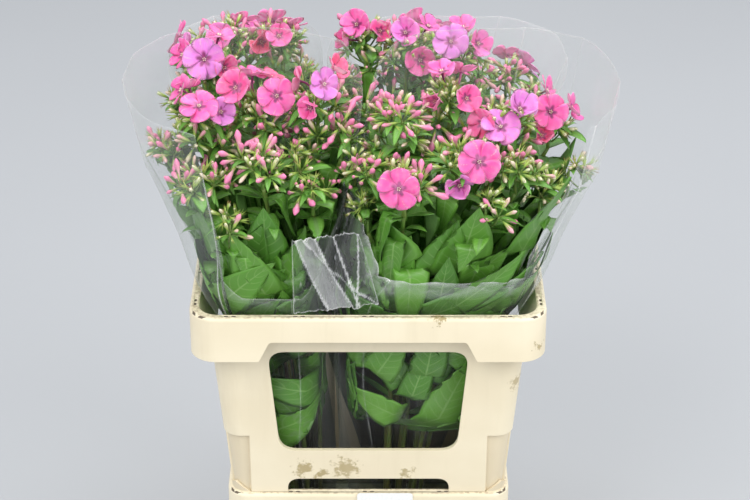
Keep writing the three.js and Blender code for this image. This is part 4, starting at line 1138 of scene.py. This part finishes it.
def clusters(plant, draw):
    """Where the clusters of a head sit and which way they look, and its buds, in a golden-angle spiral over
    each cluster. How ripe a bud is goes mostly by its cluster."""
    middle = HEADS[plant] - [0, 0, 4]
    is_shoot, is_high = plant >= MAIN, HEADS[plant, 2] > HIGH
    offsets = []
    for count, distance, height in TIERS[: 4 if is_high and not is_shoot else 2]:
        count = min(count, 2) if is_shoot else count
        compass = draw.uniform(0, 6.3) + np.arange(count) * TURN / count + draw.uniform(-0.3, 0.3, count)
        out = on_circle(compass) * draw.uniform(*distance, count)[:, None]
        offsets.append(at_height(out, draw.uniform(*height, count)))
    offsets = np.concatenate(offsets)
    hub = bent_clear(plant, middle + offsets, 1.0, -2.0)
    heading = unit((hub - middle) * [1, 1, 0] + [0, 0, 9] + np.clip(offsets * [0, 0, 0.5], -6, 6))
    order = np.arange(EACH)
    polar = np.arccos(1 - 1.3 * (order + 0.5) / EACH)
    local = at_height(np.sin(polar)[:, None] * on_circle(order * GOLDEN), np.cos(polar))
    across, other = square_to(heading)
    axis = across[:, None] * local[:, :1] + other[:, None] * local[:, 1:2] + heading[:, None] * local[:, 2:]
    axis = unit(axis + draw.uniform(-0.2, 0.2, axis.shape) + [0, 0, 0.1])
    base = hub[:, None] + axis * draw.uniform(2.5, 7.0, (len(hub), EACH, 1))
    ripe = draw.beta(0.6, 1.2, (len(hub), 1)) * 0.72 + draw.uniform(-0.12, 0.28, (len(hub), EACH))
    ripe = ripe + (0.22 if is_high else 0.0)
    stalk_foot = np.repeat(hub, EACH, 0) - np.repeat(heading, EACH, 0) * 4
    base, axis, ripe = base.reshape(-1, 3), axis.reshape(-1, 3), np.clip(ripe, 0, 1).ravel()
    return middle, hub, heading, stalk_foot, base, axis, ripe


def shortened(plant, base, axis, reach):
    """The share of its reach that each bud can keep without going far into the neighbours' space."""
    tip = base + axis * reach[:, None]
    here = stem_at(plant, tip[:, 2])
    away = tip[:, :2] - here
    distance = np.linalg.norm(away, axis=-1)
    limit = room(plant, here, away / np.maximum(distance, 1e-6)[:, None], tip[:, 2]) + 5
    return np.clip(1 - (distance - limit) / np.maximum(reach, 1), 0.4, 1)


def head_bodies(plant):
    """Every closed body of one head, by kind. Buds near an open floret are small, or make way for it."""
    draw = np.random.default_rng(100 + plant)
    middle, hub, heading, stalk_foot, base, axis, ripe = clusters(plant, draw)
    florets = np.array(PLANTS[plant][4] if plant < MAIN else [], float).reshape(-1, 8)
    eyes = bent_clear(plant, HEADS[plant] + florets[:, :3], 1.0, 6.0)
    keep = np.ones(len(base), bool)
    for eye in eyes:
        near = (unit(base - middle) @ unit(eye - middle) > 0.62) & (base[:, 2] > middle[2] - 20)
        ripe = np.where(near & (ripe > 0.2), 0.15, ripe)
        keep &= np.linalg.norm(base + axis * 8 - eye, axis=-1) > 9
    stalk_foot, base, axis, ripe = (value[keep] for value in (stalk_foot, base, axis, ripe))
    stalks = bezier(stalk_foot, (stalk_foot + base) / 2 - [0, 0, 1], base, 3)
    bodies = [(swept(stalks, np.full((len(base), 3), 0.55), 3), ON_STALK, (0.0, 0.6, 0.0), 0.6, None)]
    bodies += bud_bodies(plant, base, axis, ripe, draw)
    bodies += bract_bodies(plant, middle, hub, heading, draw)
    if len(florets):
        bodies += floret_bodies(middle, eyes, florets, draw)
    return bodies


def bud_bodies(plant, base, axis, ripe, draw):
    """A calyx with five needle teeth for each bud, and the bud in it if it has grown out: plump and short at
    first, then slender with a swollen tip."""
    count = len(base)
    full = shortened(plant, base, axis, 12 + 14 * ripe)
    size = (0.85 + 0.3 * draw.uniform(0, 1, count)) * (0.5 + 0.5 * full)
    tooth = (7.5 + 3.0 * draw.uniform(0, 1, count)) * size
    flare = 1.6 + 2.0 * draw.uniform(0, 1, count) + 1.2 * (ripe < 0.12)
    radius = toothed((0.6, 1.25), flare, 1.2) * size[:, None, None]
    spikes = around_axis(base, axis, radius, toothed((0, 3.6), 4.0 + tooth, 4.1))
    lie = lies(0.0, toothed((0, 0.35), np.ones(1), 0.45)[0])
    ends = np.stack([base - axis, base + axis * 4.4], 1)
    calyxes = (spikes, ON_CALYX, lie, draw.uniform(0, 1, (count, 1, 1, 1)), ends)

    has_bud = ripe > 0.1
    base, axis, ripe, full, size = (value[has_bud] for value in (base, axis, ripe, full, size))
    t = np.array([0, 0.3, 0.55, 0.75, 0.92, 1.0])
    slim, fat = np.array([0.8, 1.0, 1.75, 2.4, 1.3, 0.25]), np.array([1.0, 1.65, 1.9, 1.7, 1.0, 0.25])
    shape = fat + (slim - fat) * ramp_of(ripe[:, None], 0.3, 0.7)
    shape = shape * (0.85 + 0.5 * ripe)[:, None] * size[:, None]
    reach = (9.0 + 15 * ripe**1.2) * full
    radius = np.repeat(shape[..., None], 5, -1)
    height = np.repeat(3.0 + (reach - 3)[:, None, None] * t[None, :, None], 5, -1)
    lean = unit(axis + draw.uniform(-0.12, 0.12, axis.shape))
    buds = around_axis(base, lean, radius, height)
    return [calyxes, (buds, ON_BUD, lies(0.0, t[:, None]), ripe[:, None, None, None], None)]


BRACT = flat_ring((-1, -0.5, 0, 0.5, 1), (0.4, -0.4))


def bract_bodies(plant, middle, hub, heading, draw):
    """Pointed bracts under the clusters, two each, larger ones along the stem between them, the branches to
    the clusters, and the head's own short axis."""
    stalks, large = len(hub), 8
    small = 2 * stalks
    compass = np.arctan2(heading[:, 1], heading[:, 0]).repeat(2)
    compass = compass + np.tile([-1, 1], stalks) * draw.uniform(0.4, 1.3, small)
    compass = np.concatenate([compass, np.arange(large) * GOLDEN + draw.uniform(0, 6.3)])
    height = middle[2] - np.linspace(56, 4, large)
    root = np.concatenate([(hub - heading * 6).repeat(2, 0), at_height(stem_at(plant, height), height)])
    length = np.concatenate([draw.uniform(15, 29, small), draw.uniform(34, 52, large)])[:, None]
    rise = np.concatenate([draw.uniform(-0.3, 0.8, small), draw.uniform(0.1, 0.9, large)])[:, None]
    t = np.array([0, 0.12, 0.3, 0.5, 0.7, 0.88, 1.0])[None]
    out = at_height(on_circle(compass), 0 * compass)
    ridge = root[:, None] + out[:, None] * (length * np.cos(rise) * t)[..., None]
    ridge[..., 2] += length * (np.sin(rise) * t - 0.4 * t**2)
    side = np.stack([-out[:, 1], out[:, 0], 0 * compass], -1)[:, None]
    normal = unit(np.cross(unit(np.gradient(ridge, axis=1)), side))
    half = ((length * 0.15) * np.sin(math.pi * t**0.7) ** 0.8 + 0.3 * (1 - t) + 0.08)[..., None]
    s, under = BRACT
    lift = two_faces(BRACT, 0.2) + 0.35 * np.abs(s) * half
    rings = bent_clear(plant, laid_across(ridge, side, normal, s * half, lift), 1.0, 3.0)
    tone = draw.uniform(0.5, 1, (small + large, 1, 1, 1))
    top = np.array([*stem_at(plant, TOPS[plant]), TOPS[plant] - 1])
    axis = bezier(top[None], (top + middle)[None] / 2, middle[None] + [0, 0, 6], 5)
    low = np.minimum(hub[:, 2] - 14, middle[2])
    joint = at_height(stem_at(plant, low), low)
    arms = bezier(joint, joint * 0.4 + hub * 0.6 - [0, 0, 3], hub, 5)
    return [(rings, ON_BRACT, lies(s, t[..., None], under), tone, None),
            (swept(axis, np.linspace(1.7, 1.1, 5)[None], 7), ON_STALK, (0.0, 0.8, 0.0), 0.5, None),
            (swept(arms, np.full((stalks, 5), 0.85), 5), ON_STALK, (0.0, 0.6, 0.0), 0.5, None)]


PETAL = flat_ring((-1, -0.75, -0.4, 0, 0.4, 0.75, 1), (0.6, 0.2, -0.2, -0.6))
PETAL_STEPS = np.array([0, 0.08, 0.2, 0.34, 0.5, 0.65, 0.78, 0.88, 0.95, 1.0])[:, None]
PETAL_HALF = np.array([0.06, 0.085, 0.19, 0.34, 0.46, 0.52, 0.505, 0.43, 0.31, 0.09])[:, None]
TUBE_LONG = 13  # from the calyx to the floret's eye, in mm


def floret_bodies(middle, eyes, florets, draw):
    """Open florets: five broad overlapping petals on a slender tube, with five anthers in the throat. A petal
    is a flat tube: its half width rises to beyond the middle of its length and rounds off, one edge lies over
    its neighbour, and it folds forward by the floret's own angle."""
    count = len(florets)
    compass, lift, size, hue, bend = florets[:, 3:].T
    compass, lift, bend = np.radians([compass, lift, bend])
    bend, hue = bend[:, None], hue[:, None, None, None]
    facing = at_height(on_circle(compass) * np.cos(lift)[:, None], np.sin(lift))
    right = np.stack([-np.sin(compass), np.cos(compass), 0 * compass], -1)
    top = np.cross(facing, right)
    spin = (np.arange(5) * TURN / 5)[None] + draw.uniform(0, 6.3, (count, 1))
    spin = (spin + draw.uniform(-0.06, 0.06, spin.shape))[..., None]
    radial = right[:, None] * np.cos(spin) + top[:, None] * np.sin(spin)
    cross = -right[:, None] * np.sin(spin) + top[:, None] * np.cos(spin)
    radius = (size / 2)[:, None] * draw.uniform(0.95, 1.04, (count, 5))
    fold = bend + draw.uniform(-0.1, 0.12, (count, 5))
    fold = fold + 0.5 * bend * draw.uniform(-1, 1, (count, 5))
    radius, fold = radius[..., None, None], fold[..., None, None]
    t, half, (s, under) = PETAL_STEPS, PETAL_HALF, PETAL
    r = 0.05 + 0.95 * t
    curl = 0.10 * np.sin(math.pi * t) + 0.06 * t**2
    notch_in = 1 - 0.05 * np.exp(-((s / 0.25) ** 2)) * t**8
    flat, folded = radius * r * notch_in, fold * ramp_of(r, 0.1, 0.9)
    phase = draw.uniform(0, 6.3, (count, 5, 1, 1))
    wave = 0.045 * np.sin(5.5 * s + 3 * t + phase) * t + 0.02 * np.sin(9 * t + phase)
    forward = flat * np.sin(folded) + radius * (curl * 0.6 + wave)
    forward = forward + radius * 0.15 * s * half * 2 * ramp_of(t, 0.05, 0.5)
    forward = forward - radius * 0.05 * np.abs(s) ** 2 * half + two_faces(PETAL, 0.16)
    petals = (eyes[:, None, None, None] + radial[:, :, None, None] * (flat * np.cos(folded))[..., None]
              + cross[:, :, None, None] * (radius * 1.04 * s * half)[..., None]
              + facing[:, None, None, None] * forward[..., None]).reshape(-1, len(t), len(s), 3)
    hues = (hue[..., None] + draw.uniform(-0.07, 0.07, (count, 5, 1, 1, 1))).reshape(-1, 1, 1, 1)

    core = middle[None] + 0.35 * (eyes - middle)
    tube = bezier(core, eyes - facing * TUBE_LONG, eyes + facing * 0.4, 9)
    width = np.array([0.9, 0.9, 0.8, 0.8, 0.85, 0.95, 1.05, 1.2, 1.5])
    tube = swept(tube, np.broadcast_to(width, (count, 9)), 8)
    tube_lie = lies(0.0, np.linspace(0, 0.3, 9)[:, None] * np.ones(8))
    anther = (eyes[:, None] + radial * 0.9 + facing[:, None] * 0.3).reshape(-1, 3)
    ways = unit(facing[:, None] + 0.35 * radial).reshape(-1, 3)
    girth, rise = (np.broadcast_to(np.array(row)[:, None], (len(ways), 4, 4))
                   for row in ((0.22, 0.48, 0.48, 0.2), (0.0, 0.6, 1.6, 2.2)))
    way = unit((eyes - facing * TUBE_LONG) - core)
    cups = around_axis(core, way, toothed((0.8, 1.25, 1.3), np.full(count, 2.6), 1.25),
                       toothed((0, 2.5, 5.0), np.full(count, 12.5), 5.1))
    cup_lie = lies(0.0, toothed((0, 0.25, 0.45), np.ones(1), 0.45)[0])
    return [(petals, ON_PETAL, lies(s, t, under), hues, None), (tube, ON_PETAL, tube_lie, hue, None),
            (around_axis(anther, ways, girth, rise), ON_ANTHER, (0.0, 0.5, 0.0), 0.5, None),
            (cups, ON_CALYX, cup_lie, 0.4, np.stack([core - way, core + way * 5], 1))]


# Calyx: yellow-green, darker at its foot, with teeth that run out to fine reddish points.
calyx_skin, tree, surface = new_finish("calyx_skin", Roughness=0.45)
_, along, _, tone = skin_inputs(tree)
colour = blended(ramp(along, 0.0, 0.5), (0.12, 0.22, 0.03), (0.33, 0.46, 0.075))
colour = blended(ramp(along, 0.6, 0.98) * ramp(tone, 0.3, 0.9), colour, (0.38, 0.10, 0.08))
feed(surface, Base_Color=in_tissue(tree, colour, (0.26, 0.36, 0.09), 160.0, 0.3)[0])

# Bud: cream-green while young, then pink, deepest along its pointed tip, with a pale tube.
bud_skin, tree, surface = new_finish("bud_skin", Roughness=0.38)
_, along, _, ripe = skin_inputs(tree)
young = blended(ramp(along, 0.2, 1.0), (0.36, 0.47, 0.16), (0.74, 0.76, 0.50))
old = blended(ramp(along, 0.3, 0.75), (0.72, 0.40, 0.42), (0.75, 0.20, 0.37))
colour = blended(ramp(ripe, 0.28, 0.62), young, old)
feed(surface, Base_Color=in_tissue(tree, colour, (0.80, 0.32, 0.48), 120.0, 0.25)[0])

# Petal: velvety pink, lilac or coral by floret, fanned with fine veins, paler at the back and at the rim,
# with a dark magenta star round the throat.
petal_skin, tree, surface = new_finish("petal_skin", Roughness=0.5, Sheen_Weight=0.2, Sheen_Roughness=0.4,
                                       Subsurface_Weight=0.35, Subsurface_Radius=(0.003, 0.0015, 0.002),
                                       Subsurface_Scale=1.0)
across, along, under, hue = skin_inputs(tree)
colour = blended(ramp(hue, 0.1, 0.45), (0.68, 0.19, 0.62), (0.90, 0.075, 0.33))
colour = blended(ramp(hue, 0.6, 1.0), colour, (0.86, 0.075, 0.17))
colour = blended(ramp(along, 0.55, 1.0, 0.0, 0.2), colour, (0.95, 0.34, 0.62))
fan = (across * 7.0).math("FRACT")
veins = ramp(abs(fan - 0.5), 0.05, 0.3, 1.0, 0.0)
colour = blended(veins * ramp(along, 0.2, 1.0, 0.42, 0.12), colour, (0.55, 0.05, 0.28))
star = along + ramp(across, 0.0, 0.7) * 0.2
colour = blended(ramp(star, 0.25, 0.45, 0.96, 0.0), colour, (0.15, 0.006, 0.085))
colour = blended(under * 0.45, colour, (0.90, 0.45, 0.62))
feed(surface, Base_Color=in_tissue(tree, colour, (0.93, 0.33, 0.60), 95.0, 0.32)[0])

# Anther: creamy white with a dusting of yellow.
anther_skin, tree, surface = new_finish("anther_skin", Roughness=0.7)
feed(surface, Base_Color=in_tissue(tree, (0.85, 0.80, 0.62), (0.80, 0.62, 0.25), 400.0, 0.5)[0])

for plant in range(MAIN):
    parts = head_bodies(plant)
    for number in shoots_of(plant):
        parts += head_bodies(number)
    head = grown(f"flower_head_{plant + 1:02d}", parts,
                 [stem_skin, calyx_skin, bud_skin, leaf_skin, petal_skin, anther_skin])
    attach(head, "root")
    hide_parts(f"head_{plant + 1:02d}")


# ---- Studio ----
# A plain pale floor, soft light from above, both sides and all round, and the camera, which looks down at the
# front at 28 degrees from two metres away.

bpy.ops.mesh.primitive_plane_add(size=40)
floor = bpy.context.object
floor.name = "floor"
studio_grey, tree, surface = new_finish("studio_grey", Roughness=0.9)
mottle = ramp(noise(node(tree, "TexCoord", out="Object"), 0.4), 0.3, 0.7)
feed(surface, Base_Color=blended(mottle, (0.40, 0.41, 0.425), (0.43, 0.44, 0.455)))
floor.data.materials.append(studio_grey)

world = bpy.data.worlds.new("studio")
bpy.context.scene.world = world
world.use_nodes = True
feed(world.node_tree.nodes["Background"], Color=(0.93, 0.96, 1.0), Strength=0.82)

for name, spot, size, watts in (
    ("key", (-1.3, -1.9, 2.6), 1.8, 50), ("fill", (1.9, -1.4, 1.9), 1.6, 36),
    ("top", (0.2, 0.6, 2.9), 1.8, 44),
):
    lamp = bpy.data.lights.new(name, "AREA")
    lamp.shape, lamp.size, lamp.energy = "SQUARE", size, watts
    light = bpy.data.objects.new(name, lamp)
    light.location = spot
    aim = np.array([0, 0, 0.45]) - spot
    light.rotation_euler = (math.atan2(np.hypot(aim[0], aim[1]), -aim[2]), 0, math.atan2(-aim[0], aim[1]))
    bpy.context.scene.collection.objects.link(light)

lens = bpy.data.cameras.new("camera")
lens.sensor_width, lens.lens, lens.clip_start, lens.clip_end = 36, 103.2, 0.05, 60
camera = bpy.data.objects.new("camera", lens)
camera.location, camera.rotation_euler = (0.0064, -1.9177, 1.4488), (math.radians(62), 0, 0)
bpy.context.scene.collection.objects.link(camera)
bpy.context.scene.camera = camera
bpy.context.scene.view_settings.view_transform = "Standard"
